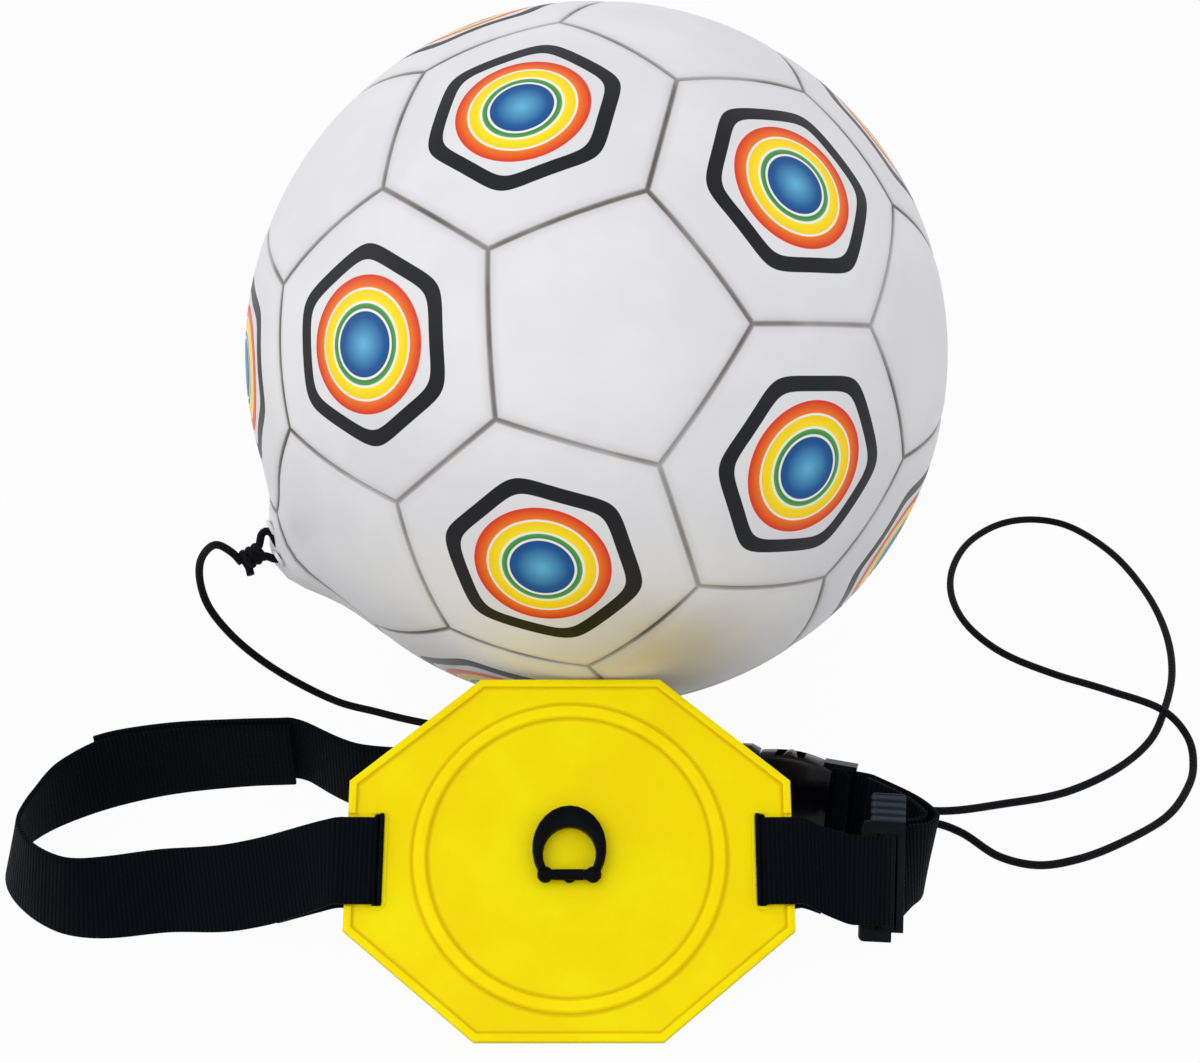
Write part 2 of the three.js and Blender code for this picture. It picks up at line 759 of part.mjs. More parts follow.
// Webbing sewn round a bar of the plate: distance from the plate's middle, height over its back.
const overBar = plateThickness + layer - webbingThickness / 2;
const underBar = -clearance - webbingThickness / 2;
const besideSlot = clearance + webbingThickness / 2 + 0.1;
const barWrap = [
  [plateWidth / 2 + 2.5, underBar - 0.3],
  [plateWidth / 2 - 0.6, underBar - 0.1],
  [slotOuter + 1, underBar - 0.05],
  [slotOuter - besideSlot * 0.75, underBar + 0.3],
  [slotOuter - besideSlot, 0.3],
  [slotOuter - besideSlot, plateThickness - 0.3],
  [slotOuter - besideSlot * 0.75, overBar - 0.3],
  [slotOuter + 1, overBar + 0.05],
  [plateWidth / 2 - 0.6, overBar + 0.2],
  [plateWidth / 2 + 2.5, overBar + 0.3],
];
const wrapStations = (side) =>
  barWrap.map(([x, n]) => station(onPlate(side * x, strapLow, n), slope.clone()));

// The waist strap left of the plate: off its bar, over the floor and round to its sewn end.
const leftRun = [
  [-80, -152.6, 18.8, 51.5],
  [-92, -150.8, 12, 45],
  [-106, -147.5, 5.4, 34],
  [-124, -143.6, 1.2, 26],
  [-143, -145.2, 0.4, 22, 3],
  [-155, -143.3, 0.4, 14, 8],
  [-167, -135.5, 0.4, 6, 13],
  [-175.5, -124.5, 0.4, 0, 17],
  [-177, -113.5, 0.4, 0, 18],
  [-172, -103.5, 0.4, -2, 16],
  [-164, -96.5, 0.4, 3, 10],
  [-152.5, -90, 0.4, 9, 4],
  [-134.5, -83.5, 0.4, 4],
  [-111, -79.5, 0.4, -1],
  [-95, -78.5, 0.4, -2],
];
const doubled = 2; // stations of the run that lie over the end sewn back under it
const overlapStart = 11; // station where the rear strap's sewn overlap begins
const overlapSteps = 12;

function leftStrap() {
  const run = onFloor(leftRun);
  const wrap = wrapStations(-1);
  const under = beside([wrap[wrap.length - 1], ...run.slice(0, doubled + 1)], layer + 0.1);
  under[1] = beside(under, 1.2)[1];
  const doubledRun = along(run, overlapStart, run.length - 1, overlapSteps);
  const free = run.slice(0, overlapStart);
  return strap([...under.slice(1, doubled + 1).reverse(), ...wrap, ...free, ...doubledRun]);
}

// The rear strap: its outer layer overlaps the waist strap's end on the left, and its other end
// goes behind the plate to the buckle's plug, round whose bar it is sewn.
const overlapRise = 1; // how much higher the outer layer sits
const rearRun = [
  [-91, -77.2, 0.6, -2],
  [-84, -82.5, 0.4, 0],
  [-74, -89, 0.4, 2],
  [-58, -94, 0.8, 8],
  [-34, -96, 1.6, 14],
  [-8, -96, 2.4, 18],
];

function rearStrap() {
  const last = leftRun.length - 1;
  const sewn = along(onFloor(leftRun), overlapStart, last, overlapSteps);
  const covered = beside(sewn, -layer - 0.15);
  covered.flatMap((s) => [s.low, s.high]).forEach((p) => (p.z += overlapRise));
  const turn = arc(6, (share) => {
    const angle = Math.PI * share;
    return buckle.at(plugBar + round * Math.sin(angle), round * Math.cos(angle));
  });
  const approach = buckle.at(plugBar - 5, round - 0.1);
  const end = [-5, -16].map((a) => buckle.at(plugBar + a, -round + 0.2));
  return strap([...covered, ...onFloor(rearRun), approach, ...turn, ...end]);
}

// The slide's frame, whose origin is the webbing's lower edge at the slide's middle bar.
const slide = strapFrame(vector(...slideFoot), slideHeading, slideFall, slideLean);
const halfSlide = slideThickness / 2;
const round1 = slideBar / 2 + clearance + webbingThickness / 2; // first layer round a bar
const round2 = round1 + layer; // second layer
const barC = round2 + webbingThickness / 2 + clearance; // near side of the last bar
const barA = -barC + layer; // near side of the first bar
const laidOn = halfSlide + clearance + webbingThickness / 2; // webbing against a bar's face

// The buckle's frame: its origin is the webbing's lower edge at the socket's mouth.
const buckleRise =
  ((buckleWidth - webbingWidth) / 2 + 0.6) * Math.cos(radians(buckleLean)) +
  (buckleThickness / 2) * Math.sin(radians(buckleLean)) - buckleSettle;
const buckle = strapFrame(vector(buckleX, buckleY, buckleRise), buckleHeading, 0, buckleLean);
const socketBar = socketLength + barWindow + buckleBar / 2;
const plugBar = -plugBase - barWindow - buckleBar / 2;
const round = buckleBar / 2 + clearance + webbingThickness / 2; // webbing round a bar

// The stretch that folds back at the right, from the slide to the socket.
const rightFold = [
  [91.6, -137.8, 5.6, 32, 2],
  [95.4, -131.6, 3.2, 23, 6],
  [96.6, -124.6, 2, 16, 7],
  [94.2, -120, 1.6, 14, 4],
  [89.8, -117.2, 2, 15, 2],
  [85, -116, 2.8, 19, 2],
];
const foldSteps = 26;
const cornerCut = 4; // stations that the inner layer leaves out at the slide
const foldStations = () => [
  slide.at(round2 + 0.5, -laidOn - 0.8),
  slide.at(round2 + 1.3, -laidOn - 3.4),
  slide.at(round2 + 3.4, -laidOn - 7),
  ...onFloor(rightFold),
  buckle.at(socketBar + 6, -round + 0.1),
];

function rightStrap() {
  const out = onFloor([[63.5, -155.2, 20.6, 54]]);
  const wrap = wrapStations(1);
  const next = slide.at(barA - slideBar, round2);
  const under = beside([wrap[wrap.length - 1], out[0], next], -layer - 0.1);
  const weave = [
    [barA - slideBar - 4, round2 + 0.6],
    [barA - slideBar, round2 + 0.2],
    [-round2 * 0.5, round2],
    [0, round2],
    [round2 * 0.5, round2 * 0.87],
    [round2 * 0.87, round2 * 0.5],
    [round2, 0],
    [round2 + 0.1, -laidOn * 0.35],
    [round2 + 0.2, -laidOn * 0.8],
  ].map(([a, n]) => slide.at(a, n));
  const turn = arc(6, (share) => {
    const angle = Math.PI * share;
    return buckle.at(socketBar - round * Math.sin(angle), -round * Math.cos(angle));
  });
  const start = under.slice(1, 2);
  const fold = along(foldStations(), 0, foldStations().length - 1, foldSteps);
  return strap([...start, ...wrap, ...out, ...weave, ...fold, ...turn]);
}

// The inner layer: from the socket's bar back to the slide, sewn round its middle bar.
function returnStrap() {
  const fold = foldStations();
  const inner = beside(along(fold, 0, fold.length - 1, foldSteps), -layer - 1.8).slice(cornerCut);
  const sewn = [
    [round1 * 0.55, -laidOn - 1.6],
    [0, -round1],
    [-round1 * 0.71, -round1 * 0.71],
    [-round1, 0],
    [-round1 * 0.71, round1 * 0.71],
    [0, round1],
    [round1 * 0.71, round1 * 0.71],
    [round1, 0],
    [round1 * 0.97, -0.5],
  ].map(([a, n]) => slide.at(a, n));
  return strap([...sewn.reverse(), ...inner]);
}

// ---------------------------------------------------------------- slide and buckle

// Built flat: X along the strap, Y up its width, Z out of its face.
function placed(object, frame) {
  object.position.copy(frame.origin);
  object.quaternion.setFromRotationMatrix(
    new THREE.Matrix4().makeBasis(frame.along, frame.up, frame.out),
  );
  return object;
}

function threeBarSlide() {
  const left = barA - slideBar;
  const right = barC + slideBar;
  const low = -webbingPlay - slideRail;
  const high = webbingWidth + webbingPlay + slideRail;
  const frame = plateOf(roundedBox(right - left, high - low, 1.6), -halfSlide, halfSlide, 0.5, 3);
  frame.translate((left + right) / 2, (low + high) / 2, 0);
  const window = block(
    [barA, -webbingPlay, -slideThickness],
    [barC, webbingWidth + webbingPlay, slideThickness],
  );
  const length = high - low - slideRail;
  const bar = new THREE.CylinderGeometry(slideBar / 2, slideBar / 2, length, 12);
  bar.translate(0, (low + high) / 2, 0);
  const tab = plateOf(
    roundedBox(thumbTabLength, thumbTabHeight + 2, 1.2),
    -halfSlide,
    halfSlide,
    0.5,
    3,
  );
  tab.translate(right - thumbTabLength / 2, high + thumbTabHeight / 2 - 1, 0);
  const ribs = Array.from({ length: thumbRibs }, (_, i) => {
    const y = high + 0.8 + (i * (thumbTabHeight - 2)) / (thumbRibs - 1);
    return block(
      [right - thumbTabLength + 1.2, y - 0.4, 0],
      [right - 1.2, y + 0.4, halfSlide + 0.5],
    );
  });
  const step = block(
    [right - slideStep[0], low - 1, -slideThickness],
    [right + 1, low + slideStep[1], slideThickness],
  );
  return join(cut(join(frame, tab, ...ribs), window, step), bar);
}

const half = webbingWidth / 2;
const cavity = buckleWidth / 2 - buckleWall - 1; // half the socket's inner width
const cavityDepth = buckleThickness / 2 - buckleWall;

// An outline that swells from `start` to its middle and narrows again.
function swelling(from, to, startHalf, middleHalf, endHalf, steps = 10) {
  const span = to - from;
  const side = arc(steps, (share) => {
    const ease = Math.sin(Math.PI * share);
    const straight = startHalf + (endHalf - startHalf) * share;
    const crest = middleHalf - (startHalf + endHalf) / 2;
    return [from + span * share, straight + crest * ease];
  });
  return shapeOf([...side.map(([x, y]) => [x, -y]), ...side.reverse()]);
}

// One of the two rails that carry a bar of the buckle, as the corners of a block.
function rail(side, from, to) {
  const near = side * (half + webbingPlay);
  const far = side * (half + 2.6);
  return [[from, Math.min(near, far), -2], [to, Math.max(near, far), 2]];
}

function buckleSocket() {
  const end = socketBar + buckleBar / 2 + 0.6;
  const swell = buckleWidth / 2;
  const body = plateOf(
    swelling(0, socketLength, swell - 1.4, swell, swell - 2.2),
    -buckleThickness / 2,
    buckleThickness / 2,
    1.6,
  );
  const rails = [-1, 1].map((s) => block(...rail(s, socketLength - 3, end)));
  const bar = new THREE.CylinderGeometry(buckleBar / 2, buckleBar / 2, webbingWidth + 4, 10);
  const hollow = block([-1, -cavity, -cavityDepth], [socketLength - 2, cavity, cavityDepth]);
  const pads = block(
    [padStart - 0.4, -buckleWidth, -cavityDepth],
    [padStart + padLength + 0.4, buckleWidth, cavityDepth],
  );
  const whole = join(cut(body, hollow, pads), ...rails, bar.translate(socketBar, 0, 0));
  return whole.translate(0, half, 0);
}

function bucklePlug() {
  const end = plugBar - buckleBar / 2 - 0.6;
  const base = plateOf(
    swelling(-plugBase, -clearance, half + 2.6, half + 3, half + 2, 2),
    -buckleThickness / 2 + 1,
    buckleThickness / 2 - 1,
    0.8,
  );
  const rails = [-1, 1].map((s) => block(...rail(s, end, -plugBase + 1)));
  const bar = new THREE.CylinderGeometry(buckleBar / 2, buckleBar / 2, webbingWidth + 4, 10);
  const tongue = block([-2, -tongueWidth / 2, -1.2], [tongueLength, tongueWidth / 2, 1.2]);
  const whole = join(base, ...rails, bar.translate(plugBar, 0, 0), tongue);
  const roots = [-1, 1].map((s) =>
    block(
      [-2.6, s > 0 ? armRoot - 0.4 : -armRoot - armThickness - 0.4, -armDepth / 2 - clearance],
      [1, s > 0 ? armRoot + armThickness + 0.4 : -armRoot + 0.4, armDepth / 2 + clearance],
    ),
  );
  return cut(whole, ...roots).translate(0, half, 0);
}

const armRoot = cavity - armThickness - 1.6; // inner side of an arm, from the buckle's middle

// One release arm: a spring leg with a finger pad that stands out of the socket's side.
function releaseArm(side) {
  const outer = armRoot + armThickness;
  const crest = arc(6, (share) => [
    padStart + padLength * share,
    outer + padBulge * Math.sin(Math.PI * share) ** 0.7,
  ]);
  const outline = [
    [-2.2, armRoot],
    [armLength, armRoot + 0.8],
    [armLength, outer],
    ...crest.reverse(),
    [-2.2, outer],
  ];
  const leg = plateOf(shapeOf(outline), -armDepth / 2, armDepth / 2, 0.3);
  if (side < 0) leg.scale(1, -1, 1);
  return outward(leg).translate(0, half, 0);
}

function beltAssembly() {
  const group = new THREE.Group();
  group.add(piece("waist_strap_left", leftStrap(), blackWebbing));
  group.add(piece("waist_strap_right", rightStrap(), blackWebbing));
  group.add(piece("waist_strap_return", returnStrap(), blackWebbing));
  group.add(piece("waist_strap_rear", rearStrap(), blackWebbing));
  group.add(placed(piece("three_bar_slide", threeBarSlide(), blackPlastic), slide));
  const fastener = placed(new THREE.Group(), buckle);
  fastener.add(piece("buckle_socket", buckleSocket(), blackPlastic));
  fastener.add(piece("buckle_plug", bucklePlug(), blackPlastic));
  fastener.add(piece("buckle_arm_upper", releaseArm(1), blackPlastic));
  fastener.add(piece("buckle_arm_lower", releaseArm(-1), blackPlastic));
  group.add(fastener);
  return group;
}

// ---------------------------------------------------------------- cord

const floorRest = cordDiameter / 2 + 0.15; // height of a cord's middle on the floor

// From the ball's knot: a short springy arch down to the floor, then along behind the belt.
const ballStretch = [
  [-112.5, -50.3, 70.2],
  [-117.5, -48, 71.5],
  [-122.8, -45.5, 65.4],
  [-125, -44, 57],
  [-124, -43, 45],
  [-119, -42.5, 34],
  [-110.7, -42, 22.9],
  [-99, -42, 12.5],
  [-84.5, -43.5, 4.6],
  [-73, -45.2, 2.2],
  [-62, -48.4, floorRest],
  [-28, -58, floorRest],
  [4, -66, floorRest],
  [36, -73.5, floorRest],
  [68, -83, floorRest],
];
// The loop that lies open on the floor at the right, passing over itself once.
const floorLoop = [
  [88, -89, floorRest],
  [107, -92.3, floorRest],
  [127, -89, floorRest],
  [147, -83.8, floorRest],
  [166.5, -72, floorRest],
  [179.5, -58.5, floorRest],
  [187.5, -43, floorRest],
  [194.2, -24, floorRest],
  [197, -2, floorRest],
  [195, 22, floorRest],
  [187, 47, floorRest],
  [174, 63.5, floorRest],
  [162, 67, floorRest],
  [150, 64, floorRest],
  [136.5, 52, floorRest],
  [128, 34.5, floorRest],
  [125.8, 18, floorRest],
  [129, 2, floorRest],
  [138.5, -13, floorRest],
  [154, -24.5, floorRest],
  [170, -34.6, 2.6],
  [186, -47.8, 4.4],
  [191.3, -59.5, 2.8],
  [190.2, -72, floorRest],
  [186, -82, floorRest],
  [177, -94.5, floorRest],
  [161, -106, floorRest],
  [146, -113.5, floorRest],
  [133, -116.2, floorRest],
  [122, -112.5, floorRest],
  [112, -102, floorRest],
];
// Behind the belt's right end, under it, and up behind the plate to the anchor's ring.
const plateStretch = [
  [104.5, -97.8, floorRest],
  [95, -97.5, floorRest],
  [87, -101, floorRest],
  [83, -109, floorRest],
  [81, -118, floorRest],
  [75, -127, floorRest],
  [62, -132, floorRest],
  [30, -135, floorRest],
  [16, -132, 2.1],
];

function cordPieces() {
  const points = (list) => list.map((p) => vector(...p));
  const group = new THREE.Group();
  const tip = (from, to) => {
    const [a, b] = [vector(...from), vector(...to)];
    return a.addScaledVector(b.clone().sub(a).normalize(), 2 * clearance);
  };
  const add = (name, list, steps) => {
    group.add(piece(name, outward(tube(points(list), cordDiameter, steps)), blackCord));
  };
  const knotTip = lugOut.clone().multiplyScalar(knotEnd + 3 * clearance).add(vector(0, 0, ballRadius));
  add("cord_ball_stretch", [knotTip.toArray(), ...ballStretch], 26);
  const loopStart = tip(ballStretch[ballStretch.length - 1], floorLoop[0]);
  add("cord_floor_loop", [loopStart.toArray(), ...floorLoop], 42);
  const backStart = tip(floorLoop[floorLoop.length - 1], plateStretch[0]);
  const tie = onPlate(0, barU, barHeight + ringHeight);
  const lead = vector(Math.sin(radians(anchorKnotLean)), 0, 0);
  lead.addScaledVector(face, -Math.cos(radians(anchorKnotLean)));
  const knotReach = anchorKnotFoot + knotLength;
  const end = [5, 3 * clearance].map((more) => tie.clone().addScaledVector(lead, knotReach + more));
  end[0].z = Math.max(end[0].z, floorRest + 1.8);
  const back = [backStart, ...plateStretch, ...end].map((p) => (p.isVector3 ? p.toArray() : p));
  add("cord_plate_stretch", back, 18);
  return group;
}

// ---------------------------------------------------------------- the whole set

const whole = new THREE.Group();
whole.add(ballAssembly(), plateAssembly(), beltAssembly(), cordPieces());

// The frame's origin is the middle of the floor under everything but the cord.
whole.updateMatrixWorld(true);
const box = new THREE.Box3();
whole.traverse((mesh) => {
  if (!mesh.isMesh || mesh.name.startsWith("cord_")) return;
  mesh.geometry.computeBoundingBox();
  const places = mesh.geometry.getAttribute("position");
  const place = new THREE.Vector3();
  for (let i = 0; i < places.count; i++) {
    box.expandByPoint(place.fromBufferAttribute(places, i).applyMatrix4(mesh.matrixWorld));
  }
});
whole.children.forEach((part) => {
  part.position.x -= (box.min.x + box.max.x) / 2;
  part.position.y -= (box.min.y + box.max.y) / 2;
  part.position.z -= box.min.z;
});

export default whole;
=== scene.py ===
# %% [markdown]
# # A football kick trainer
# The set is a ball on a thin elastic cord, a yellow hip plate and a waist belt of webbing.
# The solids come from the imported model. This script lays a finer visible surface over them,
# gives each a finish, and puts the camera, the floor and the lamps round them.

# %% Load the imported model
import json
import math

import bmesh
import bpy
from mathutils import Matrix, Vector
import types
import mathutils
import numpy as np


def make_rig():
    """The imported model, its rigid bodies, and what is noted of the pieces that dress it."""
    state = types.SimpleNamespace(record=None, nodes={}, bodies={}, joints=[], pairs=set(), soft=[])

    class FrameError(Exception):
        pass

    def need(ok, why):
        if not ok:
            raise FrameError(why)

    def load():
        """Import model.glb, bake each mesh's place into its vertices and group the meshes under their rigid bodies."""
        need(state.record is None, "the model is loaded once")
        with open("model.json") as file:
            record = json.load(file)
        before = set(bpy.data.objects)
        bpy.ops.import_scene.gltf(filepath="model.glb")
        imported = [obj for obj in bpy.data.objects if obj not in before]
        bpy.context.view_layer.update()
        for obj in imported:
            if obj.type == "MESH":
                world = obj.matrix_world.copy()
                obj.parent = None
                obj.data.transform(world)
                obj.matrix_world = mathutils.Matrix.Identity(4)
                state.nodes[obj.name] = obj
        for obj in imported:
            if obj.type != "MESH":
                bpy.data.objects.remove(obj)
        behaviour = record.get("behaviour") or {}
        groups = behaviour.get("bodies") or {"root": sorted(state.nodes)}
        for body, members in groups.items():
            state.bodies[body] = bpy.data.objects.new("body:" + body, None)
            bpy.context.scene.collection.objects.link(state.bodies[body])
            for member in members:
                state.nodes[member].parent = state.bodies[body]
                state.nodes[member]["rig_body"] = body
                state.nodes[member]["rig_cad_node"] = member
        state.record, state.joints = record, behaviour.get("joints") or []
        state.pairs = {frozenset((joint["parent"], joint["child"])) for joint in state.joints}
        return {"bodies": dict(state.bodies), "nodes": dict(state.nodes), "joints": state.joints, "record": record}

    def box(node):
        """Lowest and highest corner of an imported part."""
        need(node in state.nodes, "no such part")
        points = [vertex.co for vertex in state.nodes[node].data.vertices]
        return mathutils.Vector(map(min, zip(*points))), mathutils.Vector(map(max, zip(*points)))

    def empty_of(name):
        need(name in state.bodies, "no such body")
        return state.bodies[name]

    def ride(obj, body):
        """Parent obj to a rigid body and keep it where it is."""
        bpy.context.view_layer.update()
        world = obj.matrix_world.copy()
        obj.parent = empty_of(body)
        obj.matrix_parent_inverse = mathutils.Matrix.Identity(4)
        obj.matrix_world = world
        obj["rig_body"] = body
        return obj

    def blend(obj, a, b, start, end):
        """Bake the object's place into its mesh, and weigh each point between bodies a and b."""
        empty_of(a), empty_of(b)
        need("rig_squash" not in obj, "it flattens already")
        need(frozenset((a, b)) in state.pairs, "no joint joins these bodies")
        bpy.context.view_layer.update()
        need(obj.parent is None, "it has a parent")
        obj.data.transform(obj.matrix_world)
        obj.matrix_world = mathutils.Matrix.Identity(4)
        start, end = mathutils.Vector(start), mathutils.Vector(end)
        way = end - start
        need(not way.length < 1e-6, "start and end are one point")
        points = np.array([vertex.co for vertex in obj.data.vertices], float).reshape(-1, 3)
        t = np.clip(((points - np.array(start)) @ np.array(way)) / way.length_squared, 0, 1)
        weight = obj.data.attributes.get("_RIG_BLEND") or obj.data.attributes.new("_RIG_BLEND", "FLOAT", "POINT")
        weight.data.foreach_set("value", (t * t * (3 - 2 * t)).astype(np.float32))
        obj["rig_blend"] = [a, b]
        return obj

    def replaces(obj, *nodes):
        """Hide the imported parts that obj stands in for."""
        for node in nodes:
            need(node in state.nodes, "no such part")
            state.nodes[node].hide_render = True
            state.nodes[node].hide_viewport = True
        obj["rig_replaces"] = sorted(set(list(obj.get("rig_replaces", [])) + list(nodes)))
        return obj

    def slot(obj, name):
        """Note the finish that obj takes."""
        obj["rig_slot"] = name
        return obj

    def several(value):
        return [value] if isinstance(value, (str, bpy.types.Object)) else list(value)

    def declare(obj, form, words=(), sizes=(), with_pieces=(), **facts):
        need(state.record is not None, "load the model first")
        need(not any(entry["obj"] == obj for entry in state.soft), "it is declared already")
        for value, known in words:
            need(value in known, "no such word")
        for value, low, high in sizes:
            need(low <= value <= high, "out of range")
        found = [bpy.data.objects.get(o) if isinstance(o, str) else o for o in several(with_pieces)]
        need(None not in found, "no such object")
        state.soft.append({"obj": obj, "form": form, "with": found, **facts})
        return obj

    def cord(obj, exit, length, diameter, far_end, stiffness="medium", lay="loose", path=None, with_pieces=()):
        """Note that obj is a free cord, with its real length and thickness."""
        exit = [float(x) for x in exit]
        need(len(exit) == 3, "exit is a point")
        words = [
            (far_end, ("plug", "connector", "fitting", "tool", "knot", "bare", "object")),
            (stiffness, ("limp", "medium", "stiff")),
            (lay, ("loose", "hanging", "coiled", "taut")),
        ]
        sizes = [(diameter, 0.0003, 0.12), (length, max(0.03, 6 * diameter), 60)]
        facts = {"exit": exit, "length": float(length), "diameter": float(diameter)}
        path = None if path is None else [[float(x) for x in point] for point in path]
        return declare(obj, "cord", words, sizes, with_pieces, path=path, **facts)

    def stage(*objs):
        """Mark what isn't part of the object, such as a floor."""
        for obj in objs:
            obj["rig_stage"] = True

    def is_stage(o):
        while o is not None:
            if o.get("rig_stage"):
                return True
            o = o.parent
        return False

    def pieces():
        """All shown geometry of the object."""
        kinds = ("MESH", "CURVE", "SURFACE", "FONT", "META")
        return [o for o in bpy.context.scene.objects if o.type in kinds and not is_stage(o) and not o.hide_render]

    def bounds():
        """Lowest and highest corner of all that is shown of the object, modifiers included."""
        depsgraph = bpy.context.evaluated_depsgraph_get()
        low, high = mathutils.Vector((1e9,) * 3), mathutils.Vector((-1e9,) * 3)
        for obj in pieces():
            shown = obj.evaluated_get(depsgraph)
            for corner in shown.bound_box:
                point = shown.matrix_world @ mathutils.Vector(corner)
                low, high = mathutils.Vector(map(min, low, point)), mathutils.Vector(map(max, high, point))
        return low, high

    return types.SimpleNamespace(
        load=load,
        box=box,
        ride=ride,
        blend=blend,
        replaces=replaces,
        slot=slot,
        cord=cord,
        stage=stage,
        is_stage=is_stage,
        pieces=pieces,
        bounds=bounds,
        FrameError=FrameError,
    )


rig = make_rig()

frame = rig.load()
cad_box = [list(corner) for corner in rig.bounds()]
print("solids:", len(frame["nodes"]), "bodies:", sorted(frame["bodies"]))

# %% [markdown]
# ## The camera
# The set is seen from in front and above, through a long lens, so that the ball looks round
# and the plate is hardly narrowed. A camera at rest looks straight down. To look forward and a
# little down, it is turned about X by what that angle leaves of a right angle.

# %% Camera
look_down = 35
lens = bpy.data.cameras.new("camera")
lens.sensor_width = 36
lens.lens = 62.57
camera = bpy.data.objects.new("camera", lens)
camera.location = (0.03494, -0.53549, 0.44436)
camera.rotation_euler = (math.radians(90 - look_down), 0, 0)
bpy.context.scene.collection.objects.link(camera)
bpy.context.scene.camera = camera
print("camera:", round(lens.lens, 2), "mm lens, looking", look_down, "degrees down")

# %% [markdown]
# ## Routes and grids
# A cord and a strap are the same thing to a modeller: a flat grid that is laid along a route.
# Rolled across its width it makes a cord, and left flat it makes webbing. The grid keeps a UV
# map in metres, so a weave drawn on it has its true size wherever the piece bends.

# %% A smooth curve through points
def through(points, steps):
    """Points on a smooth curve through the given ones, with a number of steps to each span."""
    points = [Vector(p) for p in points]
    first = 2 * points[0] - points[1]
    last = 2 * points[-1] - points[-2]
    ring = [first, *points, last]
    made = [points[0]]
    for a, b, c, d in zip(ring, ring[1:], ring[2:], ring[3:]):
        before, span, after = (
            max(math.sqrt((q - p).length), 1e-6) for p, q in ((a, b), (b, c), (c, d))
        )
        leave = ((b - a) / before - (c - a) / (before + span) + (c - b) / span) * span
        reach = ((c - b) / span - (d - b) / (span + after) + (d - c) / after) * span
        for i in range(1, steps + 1):
            t = i / steps
            cubic = (2 * b - 2 * c + leave + reach) * t**3
            square = (3 * c - 3 * b - 2 * leave - reach) * t**2
            made.append(cubic + square + leave * t + b)
    return made


def length_of(points):
    return sum((b - a).length for a, b in zip(points, points[1:]))


def evenly(points, count):
    """The same line as a number of equal steps."""
    total = length_of(points)
    made, at, walked = [points[0]], 0, 0.0
    for i in range(1, count):
        goal = total * i / count
        while walked + (points[at + 1] - points[at]).length < goal:
            walked += (points[at + 1] - points[at]).length
            at += 1
        share = (goal - walked) / (points[at + 1] - points[at]).length
        made.append(points[at].lerp(points[at + 1], share))
    return [*made, points[-1]]


# %% Laying a grid
def laid_grid(rows, columns, place, length, width):
    """A bmesh grid whose vertices go where place(along, across) says, both from 0 to 1."""
    grid = bmesh.new()
    uv = grid.loops.layers.uv.new("UVMap")
    bmesh.ops.create_grid(grid, x_segments=rows, y_segments=columns, size=0.5)
    for face in grid.faces:
        for loop in face.loops:
            along, across = loop.vert.co.x + 0.5, loop.vert.co.y + 0.5
            loop[uv].uv = (along * length, across * width)
    for vertex in grid.verts:
        vertex.co = place(vertex.co.x + 0.5, vertex.co.y + 0.5)
    return grid


def finished(shape, name, smooth=True):
    """The bmesh as an object that lies at the origin."""
    mesh = bpy.data.meshes.new(name)
    for face in shape.faces:
        face.smooth = smooth
    shape.to_mesh(mesh)
    shape.free()
    piece = bpy.data.objects.new(name, mesh)
    bpy.context.scene.collection.objects.link(piece)
    return piece


# %% A round cord
def rolled_cord(name, points, diameter, step=0.0012, sides=12):
    """A closed tube along points. The frame is carried along the path, so it never spins."""
    rows = max(8, round(length_of(points) / step))
    path = evenly(points, rows)
    travel = [
        (path[min(i + 1, rows)] - path[max(i - 1, 0)]).normalized() for i in range(rows + 1)
    ]
    side = travel[0].orthogonal().normalized()
    sides_along = []
    for direction in travel:
        side = (side - side.dot(direction) * direction).normalized()
        sides_along.append(side.copy())

    def place(along, across):
        i = min(rows, round(along * rows))
        angle = -2 * math.pi * across
        other = travel[i].cross(sides_along[i])
        out = sides_along[i] * math.cos(angle) + other * math.sin(angle)
        return path[i] + out * diameter / 2

    grid = laid_grid(rows, sides, place, length_of(path), math.pi * diameter)
    bmesh.ops.remove_doubles(grid, verts=grid.verts, dist=1e-6)
    rims = [edge for edge in grid.edges if edge.is_boundary]
    bmesh.ops.holes_fill(grid, edges=rims, sides=0)
    bmesh.ops.recalc_face_normals(grid, faces=grid.faces)
    return finished(grid, name)


# %% [markdown]
# ## The elastic cord
# The cord is one thin elastic with a braided cover. It is tied to a lug low on the ball's left, springs down to the
# floor, runs behind the belt, lies in an open loop on the right and goes back under the belt to a ring behind the
# plate. A route of listed points is the plainest way to a cord that has to lie in one known place; a simulation would
# settle somewhere else.
# The points are measured from the spot where the ball touches the floor.

# %% Where the ball, the lug and the anchor are
ball_radius = 0.110
ball_foot = Vector((0.033898, 0.0381103, -0.0001377))
ball_middle = ball_foot + Vector((0, 0, ball_radius))
cord_diameter = 0.0025

lug_turn, lug_rise = math.radians(204.8), math.radians(-19.7)
lug_out = Vector((
    math.cos(lug_rise) * math.cos(lug_turn),
    math.cos(lug_rise) * math.sin(lug_turn),
    math.sin(lug_rise),
))
lug_tunnel = Vector((0.534, -0.485, -0.692))

plate_tilt = math.radians(32.25)
plate_up = Vector((0, math.cos(plate_tilt), math.sin(plate_tilt)))
plate_face = Vector((0, -math.sin(plate_tilt), math.cos(plate_tilt)))
anchor_axis = Vector((0.026298, -0.1101456, 0.0286529))
anchor_lean = math.radians(32)
anchor_lead = Vector((math.sin(anchor_lean), 0, 0)) - plate_face * math.cos(anchor_lean)
ring_drop = 0.00915
anchor_ring = anchor_axis - plate_face * ring_drop
print("anchor ring:", [round(x, 4) for x in anchor_ring])

